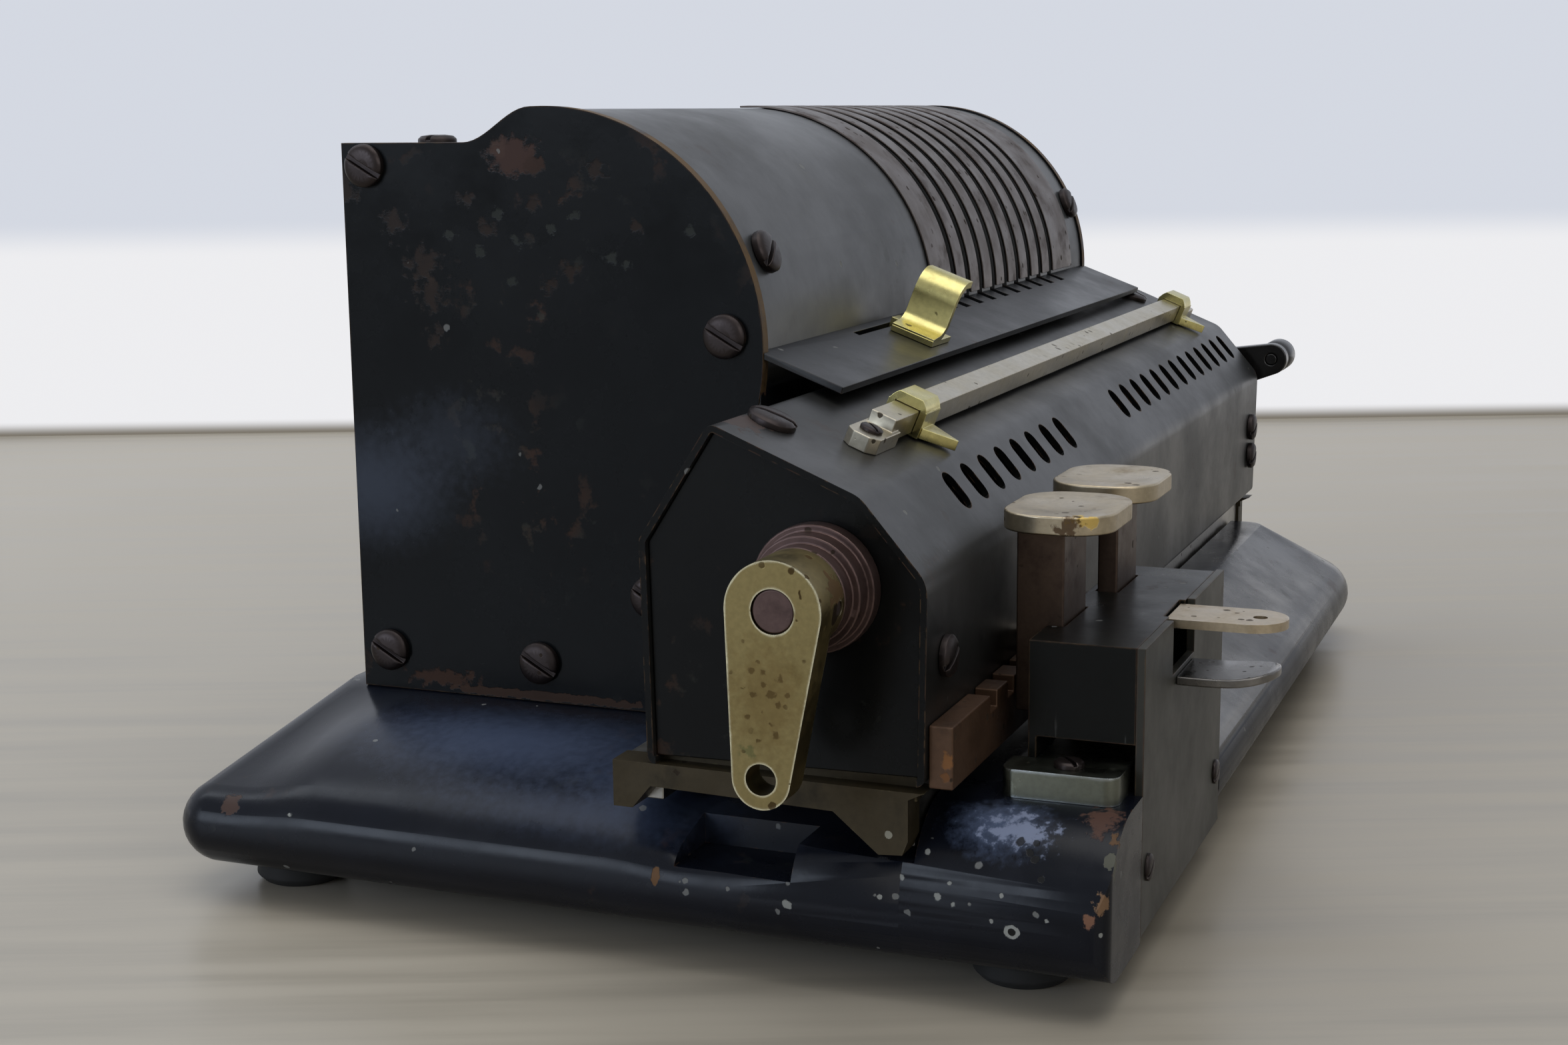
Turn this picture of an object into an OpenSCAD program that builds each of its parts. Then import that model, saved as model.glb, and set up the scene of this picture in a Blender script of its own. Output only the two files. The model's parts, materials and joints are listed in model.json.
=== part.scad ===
// Pinwheel calculating machine with a sliding carriage, seen in its own frame.
// X runs to the operator's right, Y away from the operator, Z up from the table.
// Inside the modules x = 0 is the outer face of the left side plate, y = 0 the drum axis.

/* [Body] */
// Distance over the outer faces of the two side plates
body_w = 240; // [232:1:300]
// Thickness of a side plate
plate_t = 2.5; // [2:0.1:3]
// Radius of the drum end of a side plate
plate_r = 45; // [44:0.5:55]
// Height of the drum axis above the deck
axis_rise = 71.1; // [70:0.1:92]
// Height of the flat rear top above the drum axis
flat_h = 38.3; // [38:0.1:42]
// Distance from the drum axis back to the rear edge of the plates
rear_y = 44; // [44:0.5:56]
// Distance from the drum axis forward to the plates' lower front edge
plate_front = 32; // [28:0.5:33]
// Thickness of the sheet covers
sheet_t = 1.2; // [0.8:0.1:1.5]

/* [Base] */
// Distance from the left plate out to the left lip of the base
flare_left = 45; // [38:1:60]
// Distance from the right plate out to the right lip of the base
flare_right = 25; // [20:1:60]
// Distance from the rear edge of the plates back to the rear lip
flare_rear = 17; // [14:1:30]
// Height of the deck above the table
deck_h = 32.4; // [31:0.2:36]
// Radius of the rounded lip
lip_r = 8; // [6:0.5:9]
// Clearance between the lip and the table
lip_gap = 6; // [4:0.5:8]
// Depth of the trough that the carriage runs in, below the deck
trough_drop = 8.4; // [7:0.1:9]
// Distance from the base's front face back to the running space of the index rack
ledge_d = 25; // [24.4:0.1:28]
// Thickness of the base casting
base_t = 3.4; // [2.5:0.1:4]
// Radius of a foot
foot_r = 9; // [6:0.5:10]
// Height of a foot
foot_h = 9; // [8:0.5:10]

/* [Rotor] */
// Pitch of the digit places
digit_pitch = 10.7; // [10.4:0.1:13]
// Radius of the rotor shaft
shaft_r = 5; // [4:0.1:6]
// Radius of a pinwheel disc
wheel_r = 34; // [30:0.5:35]
// Height that the tips of the setting levers stand out of the cover
tip_out = 3; // [2:0.1:3.2]
// Width of a slot in the drum cover
slot_w = 4; // [3.4:0.1:5]

/* [Carriage] */
// Distance from the drum end forward to the clearing shaft
shaft_gap = 27.6; // [27:0.1:30]
// Drop of the clearing shaft below the drum axis
shaft_drop = 33.2; // [32:0.1:35]
// Radius of a number wheel
dial_r = 13.8; // [12:0.1:14]
// Radius of the two clearing shafts
clear_r = 3.6; // [3:0.1:4.2]
// Width of a number window
window_w = 5; // [4:0.1:6]
// Height of a number window
window_h = 8; // [6:0.1:9]
// Length of carriage left of the first counter window
left_margin = 39; // [36:0.5:45]
// Length of carriage right of the last result window
right_margin = 11.6; // [11.6:0.1:20]

/* [Clearing cranks] */
// Arm length of the left clearing crank
counter_arm = 27.5; // [22:0.5:30]
// Radius of the empty knob hole in the left clearing crank
knob_hole_r = 2.6; // [2:0.1:3]
// Arm length of the right clearing crank
result_arm = 22.5; // [19:0.5:22.5]
// Radius of the knob on the right clearing crank
knob_r = 4.5; // [4:0.1:4.8]

/* [Main crank] */
// Arm length of the main crank
crank_arm_l = 38; // [32:0.5:38]
// Largest radius of the turning grip
grip_r = 8; // [6:0.5:8]
// Length of the turning grip
grip_l = 46; // [36:1:60]

/* [Keys] */
// Distance from the left plate to the left end of the key box
box_x = 20; // [16:1:24]
// Length of the key box
box_w = 67; // [60:1:80]
// Depth of the key box
box_d = 20.2; // [19.6:0.1:21]
// Length of a key cap along X
cap_w = 26; // [20:0.5:27]
// Depth of a key cap
cap_d = 20; // [17:0.5:21]
// Corner radius of a key cap
cap_r = 8; // [5:0.5:8.4]
// Height of the key caps above the box
cap_h = 20.6; // [17:0.2:24]
// Width of the two flat key stems
stem_w = 16; // [12:0.5:16]
// Depth of the near key's stem
near_stem_d = 8.6; // [5:0.1:9]
// Depth of the far key's stem
far_stem_d = 3.8; // [2.5:0.1:4]

/* [Fasteners] */
// Head radius of the large slotted screws
screw_r = 4.2; // [3:0.1:4.5]
// Head height of the large slotted screws
screw_h = 2; // [1.5:0.1:2.1]

/* [Hidden] */
$fn = 48;

// Running clearance of a shaft in its bore, gap between sliding flats, and overshoot of a cut
run_gap = 0.05;
slide_gap = 0.1;
cut = 1;

// Counts of the machine: nine setting levers, eight counter places, thirteen result places
lever_n = 9;
counter_n = 8;
result_n = 13;

// Heights above the table
axis_h = deck_h + axis_rise;
trough_h = deck_h - trough_drop;

// Places along X
base_x0 = -flare_left;
base_x1 = body_w + flare_right;
slot_last_x = body_w - 36.4;
function slot_x(k) = slot_last_x - (lever_n - 1 - k) * digit_pitch;
function result_x(k) = slot_x(0) + k * digit_pitch;
counter_x0 = -6;
function counter_x(k) = counter_x0 + k * digit_pitch;
car_x0 = counter_x0 - left_margin;
car_x1 = result_x(result_n - 1) + right_margin;
box_x0 = -box_x;
box_x1 = box_x0 + box_w;

// Drum and covers, measured from the drum axis
cover_r = plate_r - 0.6;
cover_in_r = cover_r - sheet_t;
tip_r = cover_r + tip_out;
slot_r = tip_r + 0.8;
ogee_y0 = 2;
ogee_y1 = 17;
shelf_d = 16.2;
shelf_fall = 6.1;
shelf_t = 1.3;
shelf_a = atan2(shelf_fall, shelf_d);

// Carriage profile, measured from the clearing shaft, anticlockwise from the rear top edge
shaft_y = -(plate_r + shaft_gap);
shaft_z = axis_h - shaft_drop;
car_pts = [[19.1, 26.3], [-7.4, 15.3], [-18.9, 1.8], [-18.4, -32.4], [31.5, -33.2], [32.3, 5.8]];
car_bends = [1.8, 6, 6, 1.5, 1.2, 2];
slope_a = atan2(11, 26.5);
chamfer_a = atan2(13.5, 11.5);
car_front = shaft_y - 18.9;
car_bottom = shaft_z - 33.2;
end_plate_t = 2.5;
rim = 1;
frame_t = 6;
web_t = 3;
web_x = rim + end_plate_t;
foot_front_z = shaft_z - 44.7;
foot_rear_z = shaft_z - 41.5;

// Key box, front face of the base and index rack
rack_t = 4.2;
rack_top = shaft_z - 22.2;
rack_h = 10.7;
rack_y = shaft_y - 18.6 - rack_t;
notch_w = 4;
notch_d = 3;
ledge_y = car_front - rack_t - 1;
base_y0 = ledge_y - ledge_d;
base_y1 = rear_y + flare_rear;
box_y1 = base_y0 + box_d;
box_top = rack_top + 9.9;
box_t = 1.5;
front_t = 1.5;
near_key_x = box_x0 + 19.8;
near_key_y = rack_y - 0.45 - near_stem_d / 2;
far_key_x = box_x0 + 50;
far_key_y = box_y1 - box_t - far_stem_d / 2;
near_cap_x = near_key_x - 1.8;
far_cap_x = far_key_x + 1;
cap_y = rack_y - 8.1;
key_gap = 0.3;
key_travel = 4;
stem_low = 16;
cap_t = 3.4;

// Shift lever
lever_x = box_x0 + 32.3;
lever_w = 13;
lever_t = 1.6;
tab_l = 18.4;
tab_back = 2.2;
pivot_y = box_y1 - 10;
pivot_z = box_top - 7;
pin_r = 1.5;

// Main crank
crank_x = body_w + 6;
crank_t = 6;
spindle_r = 3;
grip_x = crank_x + crank_t + 4;
spindle_end = grip_x + grip_l + 2.2;

// Clearing cranks
collar_x = car_x0 + rim - 10;
counter_arm_t = 5.9;
counter_face = collar_x - 10.8;
result_face = car_x1 - rim + 5.4;
result_arm_t = 4;
shaft_gap_x = (counter_x(counter_n - 1) + 4.6 + result_x(0) - (digit_pitch - 4.8)) / 2;

// Trough and rails
trough_y0 = shaft_y - 15.9;
trough_y1 = -plate_front - 0.6;
rail_y = [shaft_y - 11.5, shaft_y + 34.8];
rail_w = 6;
rail_top = [foot_front_z - 0.2, foot_rear_z - 0.2];

// Origin: middle of the overall box in plan, on the table
all_x0 = counter_face;
all_x1 = spindle_end;
all_y0 = base_y0 - tab_l;
all_y1 = base_y1;
module place() {
    translate([-(all_x0 + all_x1) / 2, -(all_y0 + all_y1) / 2, 0]) children();
}

// Frames of reference
module along_x(x0, x1) {
    translate([x0, 0, 0]) rotate([90, 0, 90]) linear_extrude(height = x1 - x0) children();
}
module at_drum() { translate([0, 0, axis_h]) children(); }
module at_shaft() { translate([0, shaft_y, shaft_z]) children(); }
module rod_x(x0, x1, r) { translate([x0, 0, 0]) rotate([0, 90, 0]) cylinder(h = x1 - x0, r = r); }
module on_slope(x, u) {
    at_shaft() translate([x, car_pts[0][0] - u * cos(slope_a), car_pts[0][1] - u * sin(slope_a)])
        rotate([slope_a, 0, 0]) children();
}
module on_chamfer(x, u) {
    at_shaft() translate([x, car_pts[1][0] - u * cos(chamfer_a), car_pts[1][1] - u * sin(chamfer_a)])
        rotate([chamfer_a, 0, 0]) children();
}
module on_shelf(x, u) {
    at_drum() translate([x, -cover_r - u * cos(shelf_a), -u * sin(shelf_a)])
        rotate([shelf_a, 0, 0]) children();
}

// Polygon helpers: unit vector, inward offset of a convex outline, rounded corners, ribbon
function unit(v) = v / norm(v);
function right_of(a, b) = let(d = unit(b - a)) [d[1], -d[0]];
function inset(p, d) = let(n = len(p)) [for (i = [0:n - 1])
    let(n1 = right_of(p[(i + n - 1) % n], p[i]), n2 = right_of(p[i], p[(i + 1) % n]))
        p[i] - d * (n1 + n2) / (1 + n1 * n2)];
function corner(p0, p, p1, r, n) =
    let(a = unit(p0 - p), b = unit(p1 - p), h = acos(a * b) / 2,
        c = p + unit(a + b) * r / sin(h), s = p + a * r / tan(h) - c,
        turn = (180 - 2 * h) / n)
    [for (i = [0:n]) c + [s[0] * cos(i * turn) - s[1] * sin(i * turn),
        s[0] * sin(i * turn) + s[1] * cos(i * turn)]];
function rounded(p, r) = let(n = len(p)) [for (i = [0:n - 1])
    for (q = corner(p[(i + n - 1) % n], p[i], p[(i + 1) % n], r[i], 5)) q];
function shell_pts(d) = rounded(inset(car_pts, d), [for (r = car_bends) max(r - d, 0.3)]);
function side(p, i) = right_of(p[max(i - 1, 0)], p[min(i + 1, len(p) - 1)]);
function ribbon(p, t) = concat(
    [for (i = [0:len(p) - 1]) p[i] + side(p, i) * t / 2],
    [for (i = [len(p) - 1:-1:0]) p[i] - side(p, i) * t / 2]);
function arc(c, r, a0, a1, n) = [for (i = [0:n]) let(a = a0 + (a1 - a0) * i / n)
    [c[0] + r * cos(a), c[1] + r * sin(a)]];

// Flat tapered arm: two round ends joined by their common tangents, pointing down
module taper_arm(l, r1, r2) {
    nz = (r1 - r2) / l;
    nx = sqrt(1 - nz * nz);
    circle(r = r1);
    translate([0, -l]) circle(r = r2);
    polygon([[r1 * nx, -r1 * nz], [-r1 * nx, -r1 * nz], [-r2 * nx, -l - r2 * nz],
        [r2 * nx, -l - r2 * nz]]);
}

// Slotted screw along +Z: a low domed head above z = 0 and a shank below
module screw(r, h, shank_r, shank_l) {
    difference() {
        rotate_extrude() polygon([[0, 0], [r, 0], [r, h * 0.6], [r * 0.82, h * 0.9], [r * 0.4, h],
            [0, h]]);
        translate([-r - cut, -r * 0.13, h * 0.45]) cube([2 * (r + cut), r * 0.26, h]);
    }
    translate([0, 0, -shank_l]) cylinder(h = shank_l, r = shank_r);
}

// Places of the side plate screws: rear top, rear bottom, middle bottom, front bottom, shelf end
tie_pts = [[rear_y - 5.4, flat_h - 4.4], [rear_y - 6.5, deck_h - axis_h + 8],
    [3.4, deck_h - axis_h + 8], [-21.3, deck_h - axis_h + 23.1]];
shelf_screw = [-plate_r + 7.5, 2.6];
shank_r = 1.5;
hole_gap = 0.1;

// Base casting: flared rear part, upright front part, hollow underneath
module lip_outline(x0, x1) {
    lip_z = lip_gap + lip_r;
    shoulder = min(17, deck_h - lip_z - 1);
    translate([x0 + lip_r, lip_z]) circle(r = lip_r);
    intersection() {
        translate([x0 + shoulder, deck_h - shoulder]) circle(r = shoulder);
        translate([x0, lip_z]) square([2 * shoulder, deck_h - lip_z]);
    }
    translate([x0, lip_z]) square([x1 - x0, deck_h - shoulder - lip_z]);
    translate([x0 + shoulder, lip_gap]) square([x1 - x0 - shoulder, deck_h - lip_gap]);
    translate([x0 + lip_r, lip_gap]) square([shoulder, shoulder]);
}
module front_plan(x0, x1) {
    corner_r = 4;
    translate([x0 + corner_r, base_y0 + corner_r]) circle(r = corner_r);
    translate([x0 + corner_r, base_y0]) square([x1 - x0 - corner_r, 2 * corner_r]);
    translate([x0, base_y0 + corner_r]) square([x1 - x0, block_y1 - base_y0 - corner_r]);
}
sweep_r = 30;
block_x1 = box_x1 + 2;
block_y1 = trough_y0 + 2;
module base_outer() {
    corner_r = 5;
    lip_z = lip_gap + lip_r;
    blend_y = shaft_y + 17.6;
    hull() {
        for (x = [corner_r + 1, body_w - corner_r - 1], y = [ledge_y - 1 + corner_r, rear_y + 6 - corner_r])
            translate([x, y, deck_h - 0.4]) cylinder(h = 0.4, r = corner_r);
        for (p = [[base_x0 + lip_r, base_y1 - lip_r], [base_x1 - lip_r, base_y1 - lip_r],
            [base_x0 + lip_r, trough_y0], [box_x1, base_y0 + lip_r]])
            translate([p[0], p[1], lip_z]) sphere(r = lip_r, $fn = 32);
        translate([base_x1 - sweep_r, base_y0 + sweep_r, lip_z]) rotate_extrude($fn = 64)
            translate([sweep_r - lip_r, 0]) circle(r = lip_r, $fn = 32);
    }
    hull() {
        translate([0, block_y1, 0]) rotate([90, 0, 0]) linear_extrude(height = 0.5) lip_outline(base_x0, 0);
        translate([base_x0 + lip_r, blend_y, lip_z]) sphere(r = lip_r, $fn = 32);
        translate([corner_r + 1, blend_y, deck_h - 0.4]) cylinder(h = 0.4, r = corner_r);
    }
    intersection() {
        translate([0, block_y1, 0]) rotate([90, 0, 0]) linear_extrude(height = block_y1 - base_y0)
            lip_outline(base_x0, block_x1);
        linear_extrude(height = deck_h) front_plan(base_x0, block_x1);
    }
}
module base_cavity() {
    low = base_t + lip_r + 3;
    low_h = 12;
    top_z = deck_h - base_t - 0.2;
    inner_r = 4;
    difference() {
        union() {
            hull() {
                for (p = [[base_x0 + low, base_y1 - low - inner_r], [base_x1 - low - 2 * inner_r, base_y1 - low - inner_r],
                    [base_x0 + low, trough_y0], [box_x1, base_y0 + low + inner_r]])
                    translate([p[0] + inner_r, p[1], lip_gap - cut]) cylinder(h = low_h, r = inner_r);
                translate([base_x1 - sweep_r, base_y0 + sweep_r, lip_gap - cut])
                    cylinder(h = low_h, r = sweep_r - low);
                translate([base_t + 1, ledge_y + 2, top_z])
                    cube([body_w - 2 * base_t - 2, rear_y - ledge_y - 2, 0.2]);
            }
            hull() {
                translate([base_x0 + low, base_y0 + base_t + front_t, lip_gap - cut])
                    cube([block_x1 - base_x0 - low - base_t, trough_y0 - base_y0 - base_t - front_t, low_h]);
                translate([base_x0 + low, base_y0 + base_t + front_t, top_z])
                    cube([block_x1 - base_x0 - low - base_t, trough_y0 - base_y0 - base_t - front_t, 0.2]);
            }
        }
        translate([base_x0, trough_y0 - base_t, trough_h - base_t])
            cube([base_x1 - base_x0, trough_y1 - trough_y0 + 2 * base_t, deck_h]);
    }
}
foot_pts = [for (x = [base_x0 + 20, base_x1 - 22], y = [base_y0 + 19, base_y1 - 17]) [x, y]];
module base_shell() {
    notch_l = 15 + cut;
    color([0.05, 0.055, 0.07]) difference() {
        union() {
            difference() {
                base_outer();
                base_cavity();
            }
            intersection() {
                base_outer();
                for (p = foot_pts) translate([p[0], p[1], foot_h]) cylinder(h = deck_h, r = foot_r - 1);
            }
        }
        translate([base_x0 - cut, trough_y0, trough_h])
            cube([base_x1 - base_x0 + 2 * cut, trough_y1 - trough_y0, deck_h]);
        translate([base_x0 - cut, shaft_y + 5.6, lip_gap + 12.5]) cube([notch_l, 22, deck_h]);
        translate([box_x0 - 0.2, base_y0 - cut, lip_gap - cut])
            cube([box_w + 2 + 0.2 + cut, front_t + cut + 0.1, deck_h]);
        for (p = foot_pts) translate([p[0], p[1], -cut]) cylinder(h = foot_h + cut, r = foot_r + 0.2);
        for (x = front_screw_x) translate([x, base_y0, front_screw_z]) rotate([-90, 0, 0])
            cylinder(h = 6, r = 1.5);
        translate([stop_screw[0], stop_screw[1], deck_h - 3]) cylinder(h = 6, r = 1.5);
    }
}
module feet() {
    color([0.04, 0.04, 0.04]) for (p = foot_pts) translate([p[0], p[1], 0])
        rotate_extrude() polygon([[0, 0], [foot_r - 1.5, 0], [foot_r, 1.5], [foot_r - 1, foot_h], [0, foot_h]]);
}

// Side plates: round drum end in front, an ogee down to the flat rear top
function ogee(y0, y1, z0, z1, n) = [for (i = [0:n]) let(t = i / n)
    [y0 + (y1 - y0) * t, z0 + (z1 - z0) * (0.5 - 0.5 * cos(180 * t))]];
module plate_outline(d = 0) {
    bottom = deck_h - axis_h;
    r = plate_r - d;
    top = sqrt(r * r - ogee_y0 * ogee_y0);
    intersection() {
        circle(r = r, $fn = 96);
        translate([-plate_r, -plate_r]) square([plate_r + ogee_y0, 2 * plate_r]);
    }
    polygon(concat(ogee(ogee_y1, ogee_y0, flat_h - d, top, 12), [[ogee_y0, 0], [ogee_y1, 0]]));
    translate([-plate_front, bottom]) square([plate_front + ogee_y1, -bottom]);
    translate([ogee_y1, bottom]) square([rear_y - d - ogee_y1, flat_h - d - bottom]);
}
module side_plate(bore_r) {
    difference() {
        plate_outline();
        for (p = concat(tie_pts, [shelf_screw])) translate(p) circle(r = shank_r + hole_gap);
        if (bore_r > 0) circle(r = bore_r);
    }
}
bearing_r = 9;
module left_plate() {
    color([0.04, 0.045, 0.05]) at_drum() along_x(0, plate_t) side_plate(0);
}
module right_plate() {
    color([0.04, 0.045, 0.05]) at_drum() along_x(body_w - plate_t, body_w) side_plate(bearing_r + hole_gap);
}

// Sheet cover over drum and rear, slotted for the setting levers, with number strips on it
module lever_slots() {
    for (k = [0:lever_n - 1]) at_drum() rod_x(slot_x(k) - slot_w / 2, slot_x(k) + slot_w / 2, slot_r);
}
cover_screw_a = 23;
cover_screw_x = [10, body_w - 7];
rear_screw_x = [8, body_w - 8];
rear_screw_y = 27;
cover_in = plate_r - cover_in_r;
module drum_cover() {
    color([0.3, 0.3, 0.31]) difference() {
        at_drum() along_x(plate_t, body_w - plate_t) difference() {
            plate_outline(plate_r - cover_r);
            plate_outline(cover_in);
            translate([-2 * plate_r, -2 * plate_r]) square([2 * plate_r + rear_y - 4, 2 * plate_r]);
        }
        lever_slots();
        for (x = cover_screw_x) at_drum() translate([x, 0, 0]) rotate([90 - cover_screw_a, 0, 0])
            translate([0, 0, cover_in_r - cut]) cylinder(h = 4, r = shank_r + hole_gap);
        for (x = rear_screw_x) translate([x, rear_screw_y, axis_h + flat_h - 3])
            cylinder(h = 4, r = shank_r + hole_gap);
    }
}
module number_strips() {
    color([0.3, 0.26, 0.23]) difference() {
        at_drum() along_x(slot_x(0) - 16.5, slot_x(lever_n - 1) + 21.4) difference() {
            circle(r = plate_r, $fn = 96);
            circle(r = cover_r + 0.16, $fn = 96);
            translate([-plate_r, -plate_r]) square([2 * plate_r, plate_r + 0.8]);
            translate([ogee_y0, -plate_r]) square([plate_r, 2 * plate_r]);
        }
        lever_slots();
    }
}

// Inclined shelf in front of the drum, with a flange down behind the carriage
shelf_slot_x = [45, 112];
shelf_slot_u = 2.6;
marker_neck = 1.2;
module front_shelf() {
    back = [-cover_in_r + 0.1, -cover_r];
    front = [-cover_r - shelf_d, -shelf_fall];
    color([0.06, 0.065, 0.08]) difference() {
        at_drum() along_x(0, body_w) polygon([front, [back[1], 0], [back[0], 0], [back[0], -14],
            [back[1], -14], [back[1], -shelf_t], [front[0] + 0.4, front[1] - shelf_t]]);
        for (x = [-cut, body_w - plate_t]) at_drum() rod_x(x, x + plate_t + cut, plate_r + 0.05);
        lever_slots();
        on_shelf(shelf_slot_x[0], shelf_slot_u)
            translate([0, -marker_neck / 2 - slide_gap, -4])
                cube([shelf_slot_x[1] - shelf_slot_x[0], marker_neck + 2 * slide_gap, 8]);
    }
}

// Screws of the plates and covers, tie rods between the plates
module plate_screws() {
    color([0.2, 0.17, 0.15]) at_drum() for (p = concat(tie_pts, [shelf_screw])) {
        translate([0, p[0], p[1]]) rotate([0, -90, 0]) rotate([0, 0, 60]) screw(screw_r, screw_h, shank_r, 5);
        translate([body_w, p[0], p[1]]) rotate([0, 90, 0]) rotate([0, 0, 20]) screw(screw_r, screw_h, shank_r, 5);
    }
}
module cover_screws() {
    color([0.22, 0.19, 0.17]) {
        for (x = cover_screw_x) at_drum() translate([x, 0, 0]) rotate([90 - cover_screw_a, 0, 0])
            translate([0, 0, cover_r + 0.2]) rotate([0, 0, 35]) screw(screw_r, screw_h + 0.2, shank_r, 2.4);
        for (x = rear_screw_x) translate([x, rear_screw_y, axis_h + flat_h - 0.6])
            screw(screw_r - 0.4, screw_h, shank_r, 3);
    }
}
module tie_rods() {
    rod_r = 2.5;
    lug = 8;
    color([0.45, 0.44, 0.42]) at_drum() {
        for (p = tie_pts) translate([0, p[0], p[1]]) difference() {
            rod_x(plate_t, body_w - plate_t, rod_r);
            for (x = [-cut, body_w - 6]) rod_x(x, x + 6 + cut, shank_r + run_gap);
        }
        for (x = [plate_t, body_w - plate_t - lug]) translate([0, shelf_screw[0], shelf_screw[1]])
            difference() {
                rod_x(x, x + lug, rod_r);
                rod_x(x - cut, x + lug + cut, shank_r + run_gap);
            }
    }
}

// Rotor: shaft in two flanged bearings, nine pinwheels, each carrying its setting lever
module rotor_bearings() {
    color([0.5, 0.42, 0.25]) at_drum() {
        difference() {
            union() {
                rod_x(plate_t, plate_t + 2, bearing_r + 6);
                rod_x(plate_t, plate_t + 10, bearing_r);
            }
            rod_x(plate_t + 2, plate_t + 12, shaft_r + run_gap);
        }
        difference() {
            union() {
                rod_x(body_w - plate_t - 7, body_w + 3.4, bearing_r);
                rod_x(body_w, body_w + 2, bearing_r + 5);
            }
            rod_x(body_w - plate_t - 8, body_w + 4, shaft_r + run_gap);
        }
    }
}
module rotor_shaft() {
    color([0.5, 0.5, 0.5]) at_drum() rod_x(plate_t + 2.2, crank_x + crank_t + 0.4, shaft_r);
}
wheel_t = 4;
lever_plate_t = 2;
boss_r = 23.8;
module pinwheels() {
    stub_r = 1.2;
    wheel_gap = 0.2;
    color([0.55, 0.45, 0.25]) at_drum() for (k = [0:lever_n - 1]) translate([slot_x(k), 0, 0])
        difference() {
            union() {
                rod_x(lever_plate_t / 2 + wheel_gap, lever_plate_t / 2 + wheel_gap + wheel_t, wheel_r);
                rod_x(-lever_plate_t / 2 - wheel_gap, lever_plate_t / 2 + cut, boss_r);
                for (i = [1:9]) rotate([-20 - 11 * i, 0, 0])
                    translate([lever_plate_t / 2 + wheel_gap + wheel_t / 2, 0, wheel_r - 2])
                        cylinder(h = 3, r = stub_r);
            }
            rod_x(-3, wheel_t + 3, shaft_r + run_gap);
        }
}
module setting_lever(k) {
    ring_r = 31;
    stem = 3;
    knob = 2.4;
    rest_a = 9;
    color([0.6, 0.58, 0.55]) at_drum() translate([slot_x(k), 0, 0]) difference() {
        union() {
            rod_x(-lever_plate_t / 2, lever_plate_t / 2, ring_r);
            rotate([rest_a, 0, 0]) {
                translate([-lever_plate_t / 2, -tip_r + knob, -stem / 2])
                    cube([lever_plate_t, tip_r - ring_r + 2, stem]);
                translate([0, -tip_r + knob, 0]) rod_x(-1.4, 1.4, knob);
            }
        }
        rod_x(-2, 2, boss_r + run_gap);
    }
}
module setting_lever_1() { setting_lever(0); }
module setting_lever_2() { setting_lever(1); }
module setting_lever_3() { setting_lever(2); }
module setting_lever_4() { setting_lever(3); }
module setting_lever_5() { setting_lever(4); }
module setting_lever_6() { setting_lever(5); }
module setting_lever_7() { setting_lever(6); }
module setting_lever_8() { setting_lever(7); }
module setting_lever_9() { setting_lever(8); }

// Main crank on the right: arm hanging down, fixed spindle, turning grip
module crank_arm() {
    color([0.5, 0.5, 0.48]) at_drum() difference() {
        union() {
            along_x(crank_x, crank_x + crank_t) taper_arm(crank_arm_l, 9, 6.5);
            rod_x(body_w + 3.6, crank_x + cut, 8);
        }
        rod_x(body_w, crank_x + crank_t + cut, shaft_r + run_gap);
        translate([0, 0, -crank_arm_l]) rod_x(crank_x - cut, crank_x + crank_t + cut, spindle_r + run_gap);
    }
}
module crank_spindle() {
    color([0.55, 0.55, 0.55]) at_drum() translate([0, 0, -crank_arm_l]) {
        rod_x(crank_x + 0.2, spindle_end - 1.8, spindle_r);
        rod_x(crank_x + crank_t, grip_x - 0.3, spindle_r + 2);
        rod_x(spindle_end - 1.9, spindle_end, spindle_r + 1.4);
    }
}
module crank_grip() {
    neck = grip_r * 0.62;
    color([0.05, 0.04, 0.04]) at_drum() translate([grip_x, 0, -crank_arm_l]) rotate([0, 90, 0])
        rotate_extrude() polygon(concat([[spindle_r + run_gap, 0], [neck, 0]],
            [for (i = [0:8]) let(t = i / 8) [neck + (grip_r - neck) * (0.5 - 0.5 * cos(180 * t)),
                3 + t * grip_l * 0.45]],
            arc([grip_r - 5, grip_l - 6], 5, 0, 78, 5), [[spindle_r + run_gap, grip_l - 1]]));
}
module crank_rest() {
    gap_z = crank_arm_l + 6.2 + 1.6;
    color([0.06, 0.06, 0.07]) at_drum() {
        translate([body_w, -9, -gap_z - 9]) cube([2.4, 18, 9]);
        translate([body_w, -6, -gap_z - 3]) cube([crank_t + 5.6, 12, 2.8]);
    }
}

// Two steel rails in the trough, for the carriage runners
module carriage_rails() {
    color([0.35, 0.33, 0.31]) for (i = [0, 1])
        translate([4, rail_y[i] - rail_w / 2, trough_h]) cube([body_w - 8, rail_w, rail_top[i] - trough_h]);
}

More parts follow.
